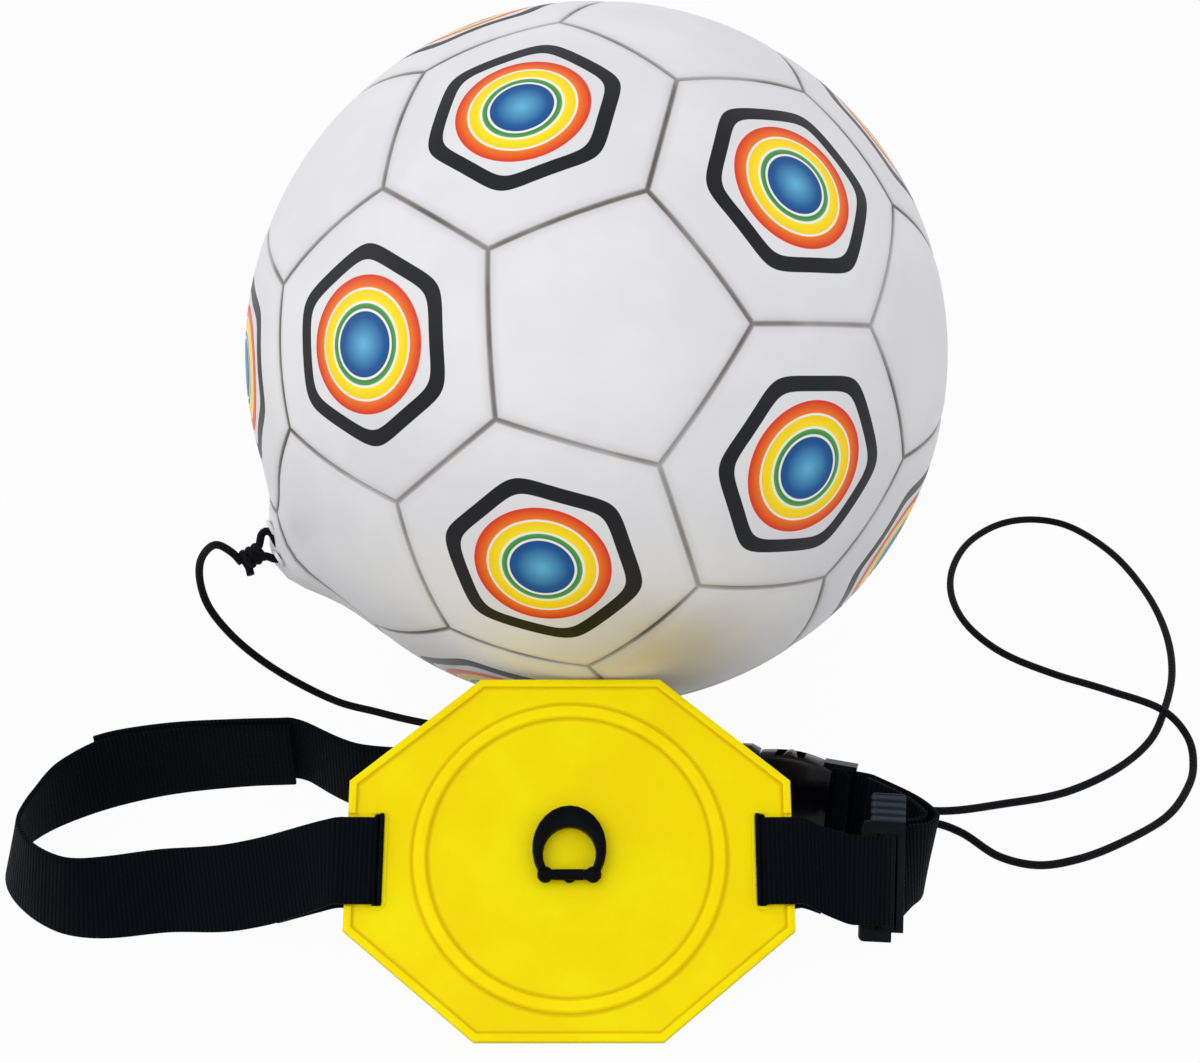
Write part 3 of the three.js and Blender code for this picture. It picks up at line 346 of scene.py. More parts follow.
# %% The cord's route
# A point of two numbers lies on the floor.
lying = 0.0014
stretch_route = [
    (-0.1125, -0.0503, 0.0702), (-0.1175, -0.048, 0.0715), (-0.1228, -0.0455, 0.0654),
    (-0.125, -0.044, 0.057), (-0.124, -0.043, 0.045), (-0.119, -0.0425, 0.034),
    (-0.1107, -0.042, 0.0229), (-0.099, -0.042, 0.0125), (-0.0845, -0.0435, 0.0046),
    (-0.073, -0.0452, 0.0022), (-0.062, -0.0484), (-0.028, -0.058), (0.004, -0.066),
    (0.036, -0.0735), (0.068, -0.083),
]
floor_route = [
    (0.088, -0.089), (0.107, -0.0923), (0.127, -0.089), (0.147, -0.0838), (0.1665, -0.072),
    (0.1795, -0.0585), (0.1875, -0.043), (0.1942, -0.024), (0.197, -0.002), (0.195, 0.022),
    (0.187, 0.047), (0.174, 0.0635), (0.162, 0.067), (0.15, 0.064), (0.1365, 0.052),
    (0.128, 0.0345), (0.1258, 0.018), (0.129, 0.002), (0.1385, -0.013), (0.154, -0.0245),
    (0.17, -0.0346, 0.0026), (0.186, -0.0478, 0.0044), (0.1913, -0.0595, 0.0028),
    (0.1902, -0.072), (0.186, -0.082), (0.177, -0.0945), (0.161, -0.106), (0.146, -0.1135),
    (0.133, -0.1162), (0.122, -0.1125), (0.112, -0.102), (0.1045, -0.0978), (0.095, -0.0975),
    (0.087, -0.101), (0.083, -0.109), (0.081, -0.118), (0.075, -0.127), (0.062, -0.132),
    (0.03, -0.135), (0.016, -0.132, 0.0021),
]

# %% The cord's two long pieces
def placed(route):
    return [ball_foot + Vector((*point, lying)[:3]) for point in route]


span_steps = 10
knot_foot, anchor_foot, knot_length = 0.1205, 0.0068, 0.008
lead_in, lowest_lead = 0.005, 0.0031
knot_tip = ball_middle + lug_out * (knot_foot + knot_length)
stretch_points = through([knot_tip, *placed(stretch_route)], span_steps)
anchor_tip = anchor_ring + anchor_lead * (anchor_foot + knot_length)
before_tip = anchor_tip + anchor_lead * lead_in
before_tip.z = max(before_tip.z, lowest_lead)
ends = [before_tip, anchor_tip]
floor_points = through([stretch_points[-1], *placed(floor_route), *ends], span_steps)
cord_stretch = rolled_cord("elastic_cord_stretch", stretch_points, cord_diameter)
cord_floor = rolled_cord("elastic_cord_floor", floor_points, cord_diameter)
print("cord:", round(length_of(stretch_points), 3), "+", round(length_of(floor_points), 3), "m")

# %% [markdown]
# ### The knots
# At both ends the cord makes a small loop, and the loose end is wound nearly three times round
# both legs of it and drawn tight. The knot is made from the same tube as the cord, along a path
# that really makes the loop, the turns and the tail.

# %% A knot
winding_start, winding_height, winding_eighths = 0.0011, 0.0058, 22


def knot_path(loop, foot):
    """A path in the knot's own frame: out along +Z, with the loop in the YZ plane."""
    start = [(0, 0, foot + knot_length), (0, -0.0006, foot + 0.0035)]
    legs = [(0, -y, z) for y, z in reversed(loop)] + [(0, y, z) for y, z in loop[1:]]
    wound = []
    for i in range(winding_eighths + 1):
        angle = 2 * math.pi * i / 8 + math.pi / 2
        height = foot + winding_start + winding_height * i / winding_eighths
        wound.append((0.002 * math.cos(angle), 0.0022 * math.sin(angle), height))
    last = foot + winding_start + winding_height
    tail = [
        (0.0019, 0.0024, last), (0.0015, 0.0035, last + 0.0003), (0.0012, 0.0046, last + 0.0006),
    ]
    return [*start, *legs, *wound, *tail]


def facing(out, along, origin):
    """The frame whose Z is out and whose Y lies as near along as it can."""
    z = out.normalized()
    x = along.cross(z).normalized()
    turned = Matrix((x, z.cross(x), z)).transposed()
    return Matrix.Translation(origin) @ turned.to_4x4()


def knot(name, loop, foot, place):
    points = [place @ p for p in through(knot_path(loop, foot), 6)]
    print(name, "takes", round(length_of(points) * 1000), "mm of cord")
    return rolled_cord(name, points, cord_diameter, step=0.0007, sides=14)


# %% The two knots
# Half of each loop is given, from its middle outwards, as places across and out.
tunnel = 0.1161
ball_loop = [
    (0, tunnel), (0.0034, tunnel), (0.0047, tunnel + 0.0012), (0.0044, tunnel + 0.0028),
    (0.0031, knot_foot - 0.0004), (0.0018, knot_foot + 0.0008),
]
lug_place = facing(lug_out, lug_tunnel, ball_middle)
ball_knot = knot("elastic_cord_ball_knot", ball_loop, knot_foot, lug_place)

ring_middle, round_wire = 0.0032, 0.00265
anchor_loop = [
    (0, ring_middle - round_wire), (0.0019, ring_middle - 0.0023),
    (0.003, ring_middle - 0.0005), (0.0029, ring_middle + 0.0012),
    (0.0017, anchor_foot + 0.0004),
]
anchor_place = facing(anchor_lead, plate_up, anchor_ring)
anchor_knot = knot("elastic_cord_anchor_knot", anchor_loop, anchor_foot, anchor_place)

# %% What the cord is to the set
# A kicked ball draws the first stretch after it, so that piece bends between the two bodies.
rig.replaces(cord_stretch, "cord_ball_stretch")
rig.replaces(cord_floor, "cord_floor_loop", "cord_plate_stretch")
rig.replaces(ball_knot, "cord_ball_knot")
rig.replaces(anchor_knot, "cord_anchor_knot")
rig.ride(ball_knot, "ball")
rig.ride(anchor_knot, "set")
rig.ride(cord_floor, "set")
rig.blend(cord_stretch, "ball", "set", start=knot_tip, end=stretch_points[-1])
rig.cord(cord_stretch, exit=knot_tip, length=round(length_of(stretch_points), 3),
        diameter=cord_diameter, far_end="object", stiffness="limp", lay="loose",
        path=evenly(stretch_points, 120), with_pieces=[ball_knot])
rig.cord(cord_floor, exit=floor_points[0], length=round(length_of(floor_points), 3),
        diameter=cord_diameter, far_end="object", stiffness="limp", lay="loose",
        path=evenly(floor_points, 300), with_pieces=[anchor_knot])
for cord in (cord_stretch, cord_floor, ball_knot, anchor_knot):
    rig.slot(cord, "cord")

# %% [markdown]
# ## The ball's cover
# The cover is 12 pentagons and 20 hexagons of foam-backed synthetic leather, sewn edge to edge.
# Cutting the corners off an icosahedron gives that pattern exactly: a bevel of the vertices is
# all it takes. Each face is then cut finely, drawn out to the sphere, and pressed down towards
# its seams, because the stitches pull the edges in.

# %% The pattern of the panels
pentagon_share = 0.343
ball_turn = (
    Matrix.Rotation(math.radians(2.28), 4, "Z")
    @ Matrix.Rotation(math.radians(55.49), 4, "X")
    @ Matrix.Rotation(math.radians(1.2), 4, "Z")
)
pattern = bmesh.new()
bmesh.ops.create_icosphere(pattern, subdivisions=1, radius=ball_radius, matrix=ball_turn)
side_length = pattern.edges[:][0].calc_length()
bmesh.ops.bevel(
    pattern, geom=pattern.verts[:], offset=pentagon_share * side_length, offset_type="OFFSET",
    segments=1, profile=0.5, affect="VERTICES", material=-1,
)
panel_outlines = [[vertex.co.copy() for vertex in face.verts] for face in pattern.faces]
pattern.free()
corners = [len(outline) for outline in panel_outlines]
print("panels:", corners.count(5), "pentagons,", corners.count(6), "hexagons")

# %% One flat panel
seam_gap = 0.0003
border_rows = (0.00025, 0.0003, 0.0004, 0.0006, 0.0009)


def flat_panel(outline):
    """A flat, finely cut polygon with extra rows along its border."""
    panel = bmesh.new()
    panel.faces.new([panel.verts.new(corner) for corner in outline])
    panel.normal_update()
    middle = sum(outline, Vector()) / len(outline)
    if panel.faces[:][0].normal.dot(middle) < 0:
        bmesh.ops.reverse_faces(panel, faces=panel.faces)
    trimmed = bmesh.ops.inset_region(panel, faces=panel.faces[:], thickness=seam_gap / 2)
    bmesh.ops.delete(panel, geom=trimmed["faces"], context="FACES")
    bmesh.ops.poke(panel, faces=panel.faces[:])
    bmesh.ops.subdivide_edges(panel, edges=panel.edges[:], cuts=8, use_grid_fill=True)
    inner = panel.faces[:]
    for width in border_rows:
        bmesh.ops.inset_region(panel, faces=inner, thickness=width, use_boundary=True)
    return panel


# %% How deep or how far out the cover lies
stitch_depth, stitch_reach = 0.00055, 0.0005
foam_depth, foam_reach = 0.0004, 0.0032
pull_height, pull_reach = 0.0104, 0.0158
pull_out = Vector((-0.8323, -0.3661, -0.4161)).normalized()


def seam_distance(direction, walls):
    """How far a point of the sphere is from the nearest seam, in metres."""
    return ball_radius * min(math.asin(max(-1.0, min(1.0, direction.dot(wall)))) for wall in walls)


def pressed(distance):
    """How deep the cover lies below the sphere at a distance from its seam."""
    stitched = stitch_depth * math.exp(-distance / stitch_reach)
    return stitched + foam_depth * math.exp(-distance / foam_reach)


def drawn_out(direction):
    """How far the pull of the cord has drawn the cover out beside the lug."""
    away = ball_radius * pull_out.angle(direction)
    return pull_height * math.exp(-((away / pull_reach) ** 2))


# %% The inside of a panel and its flat map
cover_thickness = 0.0026


def close_panel(panel):
    """Adds the panel's inside and the narrow walls, whose outer corner stays sharp."""
    border = [edge for edge in panel.edges if edge.is_boundary]
    doubled = bmesh.ops.duplicate(panel, geom=panel.verts[:] + panel.edges[:] + panel.faces[:])
    inside = [item for item in doubled["geom"] if isinstance(item, bmesh.types.BMFace)]
    for vertex in {corner for face in inside for corner in face.verts}:
        direction = vertex.co.normalized()
        vertex.co = direction * (ball_radius - cover_thickness + drawn_out(direction))
    bmesh.ops.reverse_faces(panel, faces=inside)
    rims = [edge for edge in panel.edges if edge.is_boundary]
    bmesh.ops.bridge_loops(panel, edges=rims)
    for edge in border:
        edge.smooth = False


def map_panel(panel, uv, middle, across):
    """Draws the UV map round the panel's middle, in metres along the sphere."""
    across = (across - across.dot(middle) * middle).normalized()
    upward = middle.cross(across)
    for face in panel.faces:
        for loop in face.loops:
            direction = loop.vert.co.normalized()
            arc = ball_radius * middle.angle(direction)
            flat = direction - direction.dot(middle) * middle
            flat = flat.normalized() * arc if flat.length > 1e-9 else flat
            loop[uv].uv = (flat.dot(across), flat.dot(upward))


# %% One panel of the cover
def cover_panel(name, outline):
    """A closed panel that keeps its distances to the seam, and the direction of its middle."""
    panel = flat_panel(outline)
    middle = sum(outline, Vector()).normalized()
    walls = [a.cross(b).normalized() for a, b in zip(outline, outline[1:] + outline[:1])]
    if walls[0].dot(middle) < 0:
        walls = [-wall for wall in walls]
    to_seam = panel.verts.layers.float.new("to_seam")
    uv = panel.loops.layers.uv.new("UVMap")
    for vertex in panel.verts:
        direction = vertex.co.normalized()
        distance = max(0.0, seam_distance(direction, walls) - seam_gap / 2)
        vertex[to_seam] = distance * 1000
        vertex.co = direction * (ball_radius - pressed(distance) + drawn_out(direction))
    close_panel(panel)
    map_panel(panel, uv, middle, ((outline[0] + outline[1]) / 2).normalized())
    bmesh.ops.translate(panel, verts=panel.verts, vec=ball_middle)
    return finished(panel, name), middle


# %% All the panels, each in the place of its solid
def middle_of(node):
    low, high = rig.box(node)
    return (low + high) / 2


valve_node = "ball_pentagon_08"
cover_nodes = [n for n in frame["nodes"] if n.startswith(("ball_pentagon", "ball_hexagon"))]
pentagons, hexagons = [], []
for outline in panel_outlines:
    towards = ball_middle + sum(outline, Vector()).normalized() * ball_radius
    node = min(cover_nodes, key=lambda n: (middle_of(n) - towards).length)
    cover_nodes.remove(node)
    panel, outward = cover_panel(node.replace("ball_", "cover_"), outline)
    slot, alike = ("cover_plain", pentagons) if len(outline) == 5 else ("cover_printed", hexagons)
    alike.append(panel)
    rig.replaces(panel, node)
    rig.ride(panel, "ball")
    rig.slot(panel, slot)
    if node == valve_node:
        valve_panel, valve_out = panel, outward
print("cover:", len(pentagons), "pentagons,", len(hexagons), "hexagons")

# %% [markdown]
# ### Two eyelets
# The cord's loop enters the cover through two small eyelets with raised white rims. Each rim is
# a small circle that is spun round the eyelet's axis, the shortest way to any ring or shell.

# %% Spinning a section
def spin(shape, axis, steps):
    """Turns the edges in a bmesh once round an axis through the origin."""
    bmesh.ops.spin(
        shape, geom=shape.verts[:] + shape.edges[:], axis=axis, cent=(0, 0, 0),
        angle=2 * math.pi, steps=steps, use_merge=True,
    )
    bmesh.ops.remove_doubles(shape, verts=shape.verts, dist=1e-6)
    bmesh.ops.recalc_face_normals(shape, faces=shape.faces)


# %% The rims
leg_spread = 0.0047
rim_radius, rim_wire = 0.0022, 0.0006


def eyelet(name, beside):
    """The rim where a leg of the loop goes in, at a distance beside the lug's middle."""
    towards = (lug_place @ Vector((0, beside, tunnel)) - ball_middle).normalized()
    surface = ball_middle + towards * (ball_radius + drawn_out(towards))
    rim = bmesh.new()
    upright = Matrix.Rotation(math.pi / 2, 4, "X")
    ring = bmesh.ops.create_circle(rim, segments=10, radius=rim_wire, matrix=upright)
    bmesh.ops.translate(rim, verts=ring["verts"], vec=(rim_radius, 0, 0))
    spin(rim, (0, 0, 1), 28)
    bmesh.ops.transform(rim, matrix=facing(towards, lug_tunnel, surface), verts=rim.verts)
    made = finished(rim, name)
    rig.ride(made, "ball")
    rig.slot(made, "cover_plain")
    return made


eyelets = [eyelet("eyelet_near", leg_spread), eyelet("eyelet_far", -leg_spread)]
print("eyelets:", len(eyelets))

# %% [markdown]
# ### The valve's hole and the bladder
# The needle goes in through a small round hole in one panel. A Boolean is the quickest way to
# bore it. The bladder inside is a thin rubber sphere: its half section is spun round the
# valve's axis, so the mouth that the valve sits in is there from the start.

# %% Boring the valve's hole
mouth_radius, drill_length = 0.0037, 0.02
valve_place = facing(valve_out, Vector((0, 0, 1)), ball_middle)
drill = bmesh.new()
bmesh.ops.create_cone(
    drill, cap_ends=True, segments=32, radius1=mouth_radius, radius2=mouth_radius,
    depth=drill_length, matrix=valve_place @ Matrix.Translation((0, 0, ball_radius)),
)
drill_object = finished(drill, "valve_drill", smooth=False)
bore = valve_panel.modifiers.new("valve_hole", "BOOLEAN")
bore.operation = "DIFFERENCE"
bore.object = drill_object
evaluated = valve_panel.evaluated_get(bpy.context.evaluated_depsgraph_get())
bored = bpy.data.meshes.new_from_object(evaluated)
valve_panel.modifiers.clear()
valve_panel.data = bored
bpy.data.objects.remove(drill_object)
print("bored panel:", valve_panel.name, len(bored.polygons), "faces")

# %% The bladder
bladder_radius, bladder_wall, arc_steps = 0.1067, 0.0009, 48
shell = bmesh.new()
section = []
for radius in (bladder_radius, bladder_radius - bladder_wall):
    opening = math.asin(mouth_radius / radius)
    angles = [opening + (math.pi - opening) * i / arc_steps for i in range(arc_steps)]
    arc = [(radius * math.sin(a), 0, radius * math.cos(a)) for a in angles]
    section.append([shell.verts.new(p) for p in [*arc, (0, 0, -radius)]])
for arc in section:
    for a, b in zip(arc, arc[1:]):
        shell.edges.new((a, b))
shell.edges.new((section[0][0], section[1][0]))
spin(shell, (0, 0, 1), 2 * arc_steps)
bmesh.ops.transform(shell, matrix=valve_place, verts=shell.verts)
bladder = finished(shell, "rubber_bladder")
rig.replaces(bladder, "ball_bladder")
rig.ride(bladder, "ball")
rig.slot(bladder, "bladder")
print("bladder:", len(bladder.data.polygons), "faces")

# %% [markdown]
# ## The belt's webbing
# The straps are woven ribbons 25 mm wide and 1.4 mm thick. Their solids already pass through
# the plate, the slide and the buckle in the right order, so each visible strap is laid along its
# own solid: starting at one end, the solid's four-cornered sections are visited one by one, and
# the middles of the two short sides give the ribbon's two edges.

# %% The edges of a strap, read from its solid
webbing_width, webbing_thickness = 0.025, 0.0014


def strap_edges(node, start):
    """Two lists of points, the lower and the upper edge, from the end nearest to start."""
    solid = bmesh.new()
    solid.from_mesh(frame["nodes"][node].data)
    bmesh.ops.remove_doubles(solid, verts=solid.verts, dist=2e-6)
    ends = [v for v in solid.verts if len(v.link_edges) < 6]
    corner = min(ends, key=lambda v: (v.co - Vector(start)).length)
    reach = sorted(ends, key=lambda v: (v.co - corner.co).length)
    section, seen = reach[:4], set()
    low, high = [], []
    while len(section) == 4:
        seen.update(section)
        rest = sorted(section[1:], key=lambda v: (v.co - section[0].co).length)
        pair, others = (section[0], rest[0]), (rest[1], rest[2])
        middles = [(a.co + b.co) / 2 for a, b in (pair, others)]
        middles.sort(key=lambda p: (p - low[-1]).length if low else p.z)
        low.append(middles[0].copy())
        high.append(middles[1].copy())
        section = list({e.other_vert(v) for v in section for e in v.link_edges} - seen)
    solid.free()
    return low, high


# %% A ribbon between two edges
def thicken(piece, thickness):
    """A live thickness, half to each side."""
    wall = piece.modifiers.new("thickness", "SOLIDIFY")
    wall.thickness, wall.offset = thickness, 0


def webbing_strap(name, node, start, step=0.0016):
    """A ribbon over the strap's solid, its width along V and its length along U."""
    low, high = (through(edge, 6) for edge in strap_edges(node, start))
    middle = [(a + b) / 2 for a, b in zip(low, high)]
    total = length_of(middle)
    rows = round(total / step)
    walked = [0.0]
    for a, b in zip(middle, middle[1:]):
        walked.append(walked[-1] + (b - a).length)

    def edge_at(edge, along):
        goal = along * total
        last = len(walked) - 1
        i = next((k for k in range(1, last + 1) if walked[k] >= goal - 1e-9), last)
        share = (goal - walked[i - 1]) / max(walked[i] - walked[i - 1], 1e-9)
        return edge[i - 1].lerp(edge[i], share)

    stations = [(edge_at(low, i / rows), edge_at(high, i / rows)) for i in range(rows + 1)]

    def place(along, across):
        under, over = stations[min(rows, round(along * rows))]
        return under.lerp(over, across)

    strap = finished(laid_grid(rows, 8, place, total, webbing_width), name)
    thicken(strap, webbing_thickness)
    edges = strap.modifiers.new("woven_edge", "BEVEL")
    edges.width, edges.segments, edges.limit_method = 0.0004, 2, "ANGLE"
    edges.angle_limit = math.radians(60)
    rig.replaces(strap, node)
    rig.ride(strap, "set")
    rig.slot(strap, "webbing")
    print(name, round(total * 1000), "mm of webbing")
    return strap


# %% The four straps, each with a spot near its first end
strap_starts = {
    "left": (-0.03, -0.12, 0.01),
    "rear": (-0.1, -0.05, 0.01),
    "right": (0.08, -0.12, 0.03),
    "return": (0.1, -0.12, 0.02),
}
straps = [
    webbing_strap("webbing_" + which, "waist_strap_" + which, start)
    for which, start in strap_starts.items()
]

# %% [markdown]
# ### Folds beside the bars
# The solids keep clear of each other, so narrow openings stay beside the bars of the plate and
# the buckle. On the real belt the webbing is drawn tight there and lets no light through. A
# short ribbon across each opening, laid in the bar's own frame, gives that look.

# %% Frames of the plate, the buckle and the slide
def frame_of(x_axis, y_axis, origin):
    x, y = Vector(x_axis).normalized(), Vector(y_axis).normalized()
    return Matrix.Translation(origin) @ Matrix((x, y, x.cross(y))).transposed().to_4x4()


slide_up = (0.04903, 0.71315, 0.6993)
plate_place = frame_of((1, 0, 0), plate_up, (0.0263, -0.14631, -0.00014))
buckle_place = frame_of(
    (0.96593, -0.25882, 0), (0.09819, 0.36644, 0.92525), (0.0809, -0.06789, 0.00423)
)
slide_place = frame_of((0.97941, 0.10294, -0.17365), slide_up, (0.1136, -0.11609, 0.01436))

# %% Folds
def fold(name, place, x, thickness, width, depth):
    """A short ribbon across an opening: where along the strap, then its width and its depth."""
    (low, high), (back, front) = width, depth

    def corner(along, across):
        return place @ Vector((x, low + (high - low) * across, back + (front - back) * along))

    piece = finished(laid_grid(4, 8, corner, front - back, high - low), name)
    thicken(piece, thickness)
    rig.ride(piece, "set")
    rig.slot(piece, "webbing")
    return piece


slot_width, slot_depth = (0.0376, 0.0641), (-0.0015, 0.0038)
end_width, end_depth = (0.063, 0.0641), (-0.0015, 0.0022)
bar_width = (-0.0008, 0.0258)
folds = [
    fold("fold_plate_left", plate_place, -0.05345, 0.0011, slot_width, slot_depth),
    fold("fold_plate_right", plate_place, 0.05345, 0.0011, slot_width, slot_depth),
    fold("fold_plate_left_end", plate_place, -0.0543, 0.0027, end_width, end_depth),
    fold("fold_plate_right_end", plate_place, 0.0543, 0.0027, end_width, end_depth),
    fold("fold_socket", buckle_place, 0.0241, 0.003, bar_width, (-0.0018, 0.0018)),
    fold("fold_plug", buckle_place, -0.00725, 0.0023, bar_width, (-0.0016, 0.0016)),
]
print("folds:", len(folds))

# %% [markdown]
# ## Moulded pieces
# The plate, the slide and the buckle are moulded plastic, and their solids have the right shape.
# A copy of each is merged, its flat areas are cleared of spare edges, and only its sharp corners
# stay sharp in the shading, so that rounds shade as rounds.

# %% Copies with clean shading
def moulded_copy(node, name, edge=0.0, sharp=38):
    """A merged copy of a rigid solid that rides on the solid's own body."""
    solid = bmesh.new()
    solid.from_mesh(frame["nodes"][node].data)
    bmesh.ops.remove_doubles(solid, verts=solid.verts, dist=2e-6)
    bmesh.ops.dissolve_limit(
        solid, angle_limit=math.radians(0.5), verts=solid.verts, edges=solid.edges
    )
    limit = math.radians(sharp)
    if edge:
        corners = [e for e in solid.edges if e.is_manifold and e.calc_face_angle(0) > limit]
        bmesh.ops.bevel(
            solid, geom=corners, offset=edge, offset_type="OFFSET", segments=2, profile=0.5,
            affect="EDGES", clamp_overlap=True, material=-1,
        )
    for e in solid.edges:
        e.smooth = not e.is_manifold or e.calc_face_angle(0) < limit
    made = finished(solid, name)
    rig.replaces(made, node)
    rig.ride(made, frame["nodes"][node]["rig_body"])
    return made


plate = moulded_copy("hip_plate", "moulded_hip_plate", sharp=30)
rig.slot(plate, "plate")
rounded = {"three_bar_slide": 0.00025}
hardware = {
    node: moulded_copy(node, "moulded_" + node, edge=rounded.get(node, 0.0))
    for node in (
        "anchor_crossbar", "anchor_stem", "anchor_bail", "three_bar_slide",
        "buckle_socket", "buckle_plug", "buckle_arm_upper", "buckle_arm_lower",
    )
}
for made in hardware.values():
    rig.slot(made, "hardware")
print("moulded pieces:", 1 + len(hardware))

# %% [markdown]
# ### Rings and webs that close small gaps
# The solids need clear gaps at a hinge and round a strap. Two thin rings on the bail hide those
# beside the crossbar, and two thin webs close the ends of the slide's windows.

# %% Rings on the bail
def neck(name, side):
    """A thin ring on one of the bail's ball ends, which turns with the bail."""
    near, far = 0.00415, 0.0052
    inner, outer = 0.00125, 0.0015
    corners = ((near, inner), (far, inner), (far, outer), (near, outer))
    ring = bmesh.new()
    profile = [ring.verts.new((side * x, 0, r)) for x, r in corners]
    for a, b in zip(profile, profile[1:] + profile[:1]):
        ring.edges.new((a, b))
    spin(ring, (1, 0, 0), 24)
    bmesh.ops.translate(ring, verts=ring.verts, vec=anchor_axis)
    made = finished(ring, name, smooth=False)
    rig.ride(made, frame["nodes"]["anchor_bail"]["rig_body"])
    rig.slot(made, "hardware")
    return made


necks = [neck("bail_neck_left", -1), neck("bail_neck_right", 1)]

# %% Webs in the slide's windows
web_ends = {"low": (-0.00095, 0.0006), "high": (0.0245, 0.02595)}
web_x, web_length, web_thickness = 0.00085, 0.0084, 0.0012
webs = []
for end, (low, high) in web_ends.items():
    web_middle = Matrix.Translation((web_x, (low + high) / 2, 0))
    web_size = Matrix.Diagonal((web_length, high - low, web_thickness, 1))
    web = bmesh.new()
    bmesh.ops.create_cube(web, size=1, matrix=slide_place @ web_middle @ web_size)
    webs.append(finished(web, "slide_web_" + end, smooth=False))
    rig.ride(webs[-1], "set")
    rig.slot(webs[-1], "hardware")
print("rings and webs:", len(necks + webs))

# %% Lug and valve
lug = moulded_copy("tether_lug", "moulded_tether_lug", sharp=50)
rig.slot(lug, "cover_plain")
valve = moulded_copy("ball_valve", "moulded_valve")
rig.slot(valve, "bladder")
print("lug and valve:", len(lug.data.polygons), "and", len(valve.data.polygons), "faces")

# %% [markdown]
# ## Finishes
# Each material starts as a Principled shader. A small helper adds the nodes that recur, such as
# a noise that varies the colour a little, and a bump that gives the surface its grain.

# %% Material helper
class Finish:
    """A material with short ways to add and join its nodes."""

    def __init__(self, name, roughness, **sockets):
        self.material = bpy.data.materials.new(name)
        self.material.use_nodes = True
        self.nodes = self.material.node_tree.nodes
        self.links = self.material.node_tree.links
        self.shader = self.nodes["Principled BSDF"]
        self.shader.inputs["Roughness"].default_value = roughness
        for socket, value in sockets.items():
            self.shader.inputs[socket.replace("_", " ")].default_value = value
        coordinates = self.nodes.new("ShaderNodeTexCoord").outputs
        self.place, self.uv = coordinates["Object"], coordinates["UV"]

    def put(self, socket, value):
        if isinstance(value, bpy.types.NodeSocket):
            self.links.new(value, socket)
        elif value is not None:
            socket.default_value = value

    def math(self, operation, first, second=None):
        node = self.nodes.new("ShaderNodeMath")
        node.operation = operation
        for socket, value in zip(node.inputs, (first, second)):
            self.put(socket, value)
        return node.outputs[0]

    def plus(self, first, second):
        return self.math("ADD", first, second)

    def minus(self, first, second):
        return self.math("SUBTRACT", first, second)

    def times(self, first, second):
        return self.math("MULTIPLY", first, second)

    def length(self, u, v):
        """The length of a flat vector."""
        return self.math("SQRT", self.plus(self.times(u, u), self.times(v, v)))

    def off(self, value, centre):
        """How far a value is from another, to either side."""
        return self.math("ABSOLUTE", self.minus(value, centre))

    def wave(self, value, period):
        return self.math("SINE", self.times(value, 2 * math.pi / period))

    def mix(self, share, first, second, blend="MIX"):
        node = self.nodes.new("ShaderNodeMix")
        node.data_type, node.blend_type = "RGBA", blend
        for name, value in (("Factor_Float", share), ("A_Color", first), ("B_Color", second)):
            self.put(next(s for s in node.inputs if s.identifier == name), value)
        return next(s for s in node.outputs if s.identifier == "Result_Color")

    def measured(self, operation, vector):
        """One value from the place and a fixed vector."""
        node = self.nodes.new("ShaderNodeVectorMath")
        node.operation = operation
        self.put(node.inputs[0], self.place)
        node.inputs[1].default_value = vector
        return node.outputs["Value"]

    def along(self, direction, origin):
        """The distance from origin along a direction, in millimetres."""
        direction = Vector(direction)
        walked = self.measured("DOT_PRODUCT", direction * 1000)
        return self.minus(walked, 1000 * direction.dot(Vector(origin)))

    def uv_parts(self):
        node = self.nodes.new("ShaderNodeSeparateXYZ")
        self.put(node.inputs[0], self.uv)
        return node.outputs["X"], node.outputs["Y"]

    def noise(self, scale, detail=3.0):
        node = self.nodes.new("ShaderNodeTexNoise")
        self.put(node.inputs["Vector"], self.place)
        self.put(node.inputs["Scale"], scale)
        self.put(node.inputs["Detail"], detail)
        return node.outputs["Fac"]

    def cells(self, scale):
        node = self.nodes.new("ShaderNodeTexVoronoi")
        node.feature = "SMOOTH_F1"
        self.put(node.inputs["Vector"], self.place)
        self.put(node.inputs["Scale"], scale)
        return node.outputs["Distance"]

    def between(self, value, low, high, to_low=0.0, to_high=1.0):
        """A soft step: to_low below low, to_high above high."""
        node = self.nodes.new("ShaderNodeMapRange")
        node.interpolation_type = "SMOOTHSTEP"
        for socket, number in zip(node.inputs, (value, low, high, to_low, to_high)):
            self.put(socket, number)
        return node.outputs[0]

    def bump(self, height, distance, strength=1.0, after=None):
        node = self.nodes.new("ShaderNodeBump")
        self.put(node.inputs["Height"], height)
        self.put(node.inputs["Distance"], distance)
        self.put(node.inputs["Strength"], strength)
        self.put(node.inputs["Normal"], after)
        return node.outputs["Normal"]

    def colour(self, value):
        self.put(self.shader.inputs["Base Color"], value)

    def roughness(self, value):
        self.put(self.shader.inputs["Roughness"], value)

    def normal(self, value):
        self.put(self.shader.inputs["Normal"], value)

    def on(self, *objects):
        for item in objects:
            item.data.materials.clear()
            item.data.materials.append(self.material)
        print(self.material.name, "on", len(objects))


def shade(red, green, blue):
    """A colour given as it looks on screen, 0 to 255, as the shader's linear values."""
    linear = [
        (c / 255 / 12.92) if c <= 10 else ((c / 255 + 0.055) / 1.055) ** 2.4
        for c in (red, green, blue)
    ]
    return (*linear, 1.0)
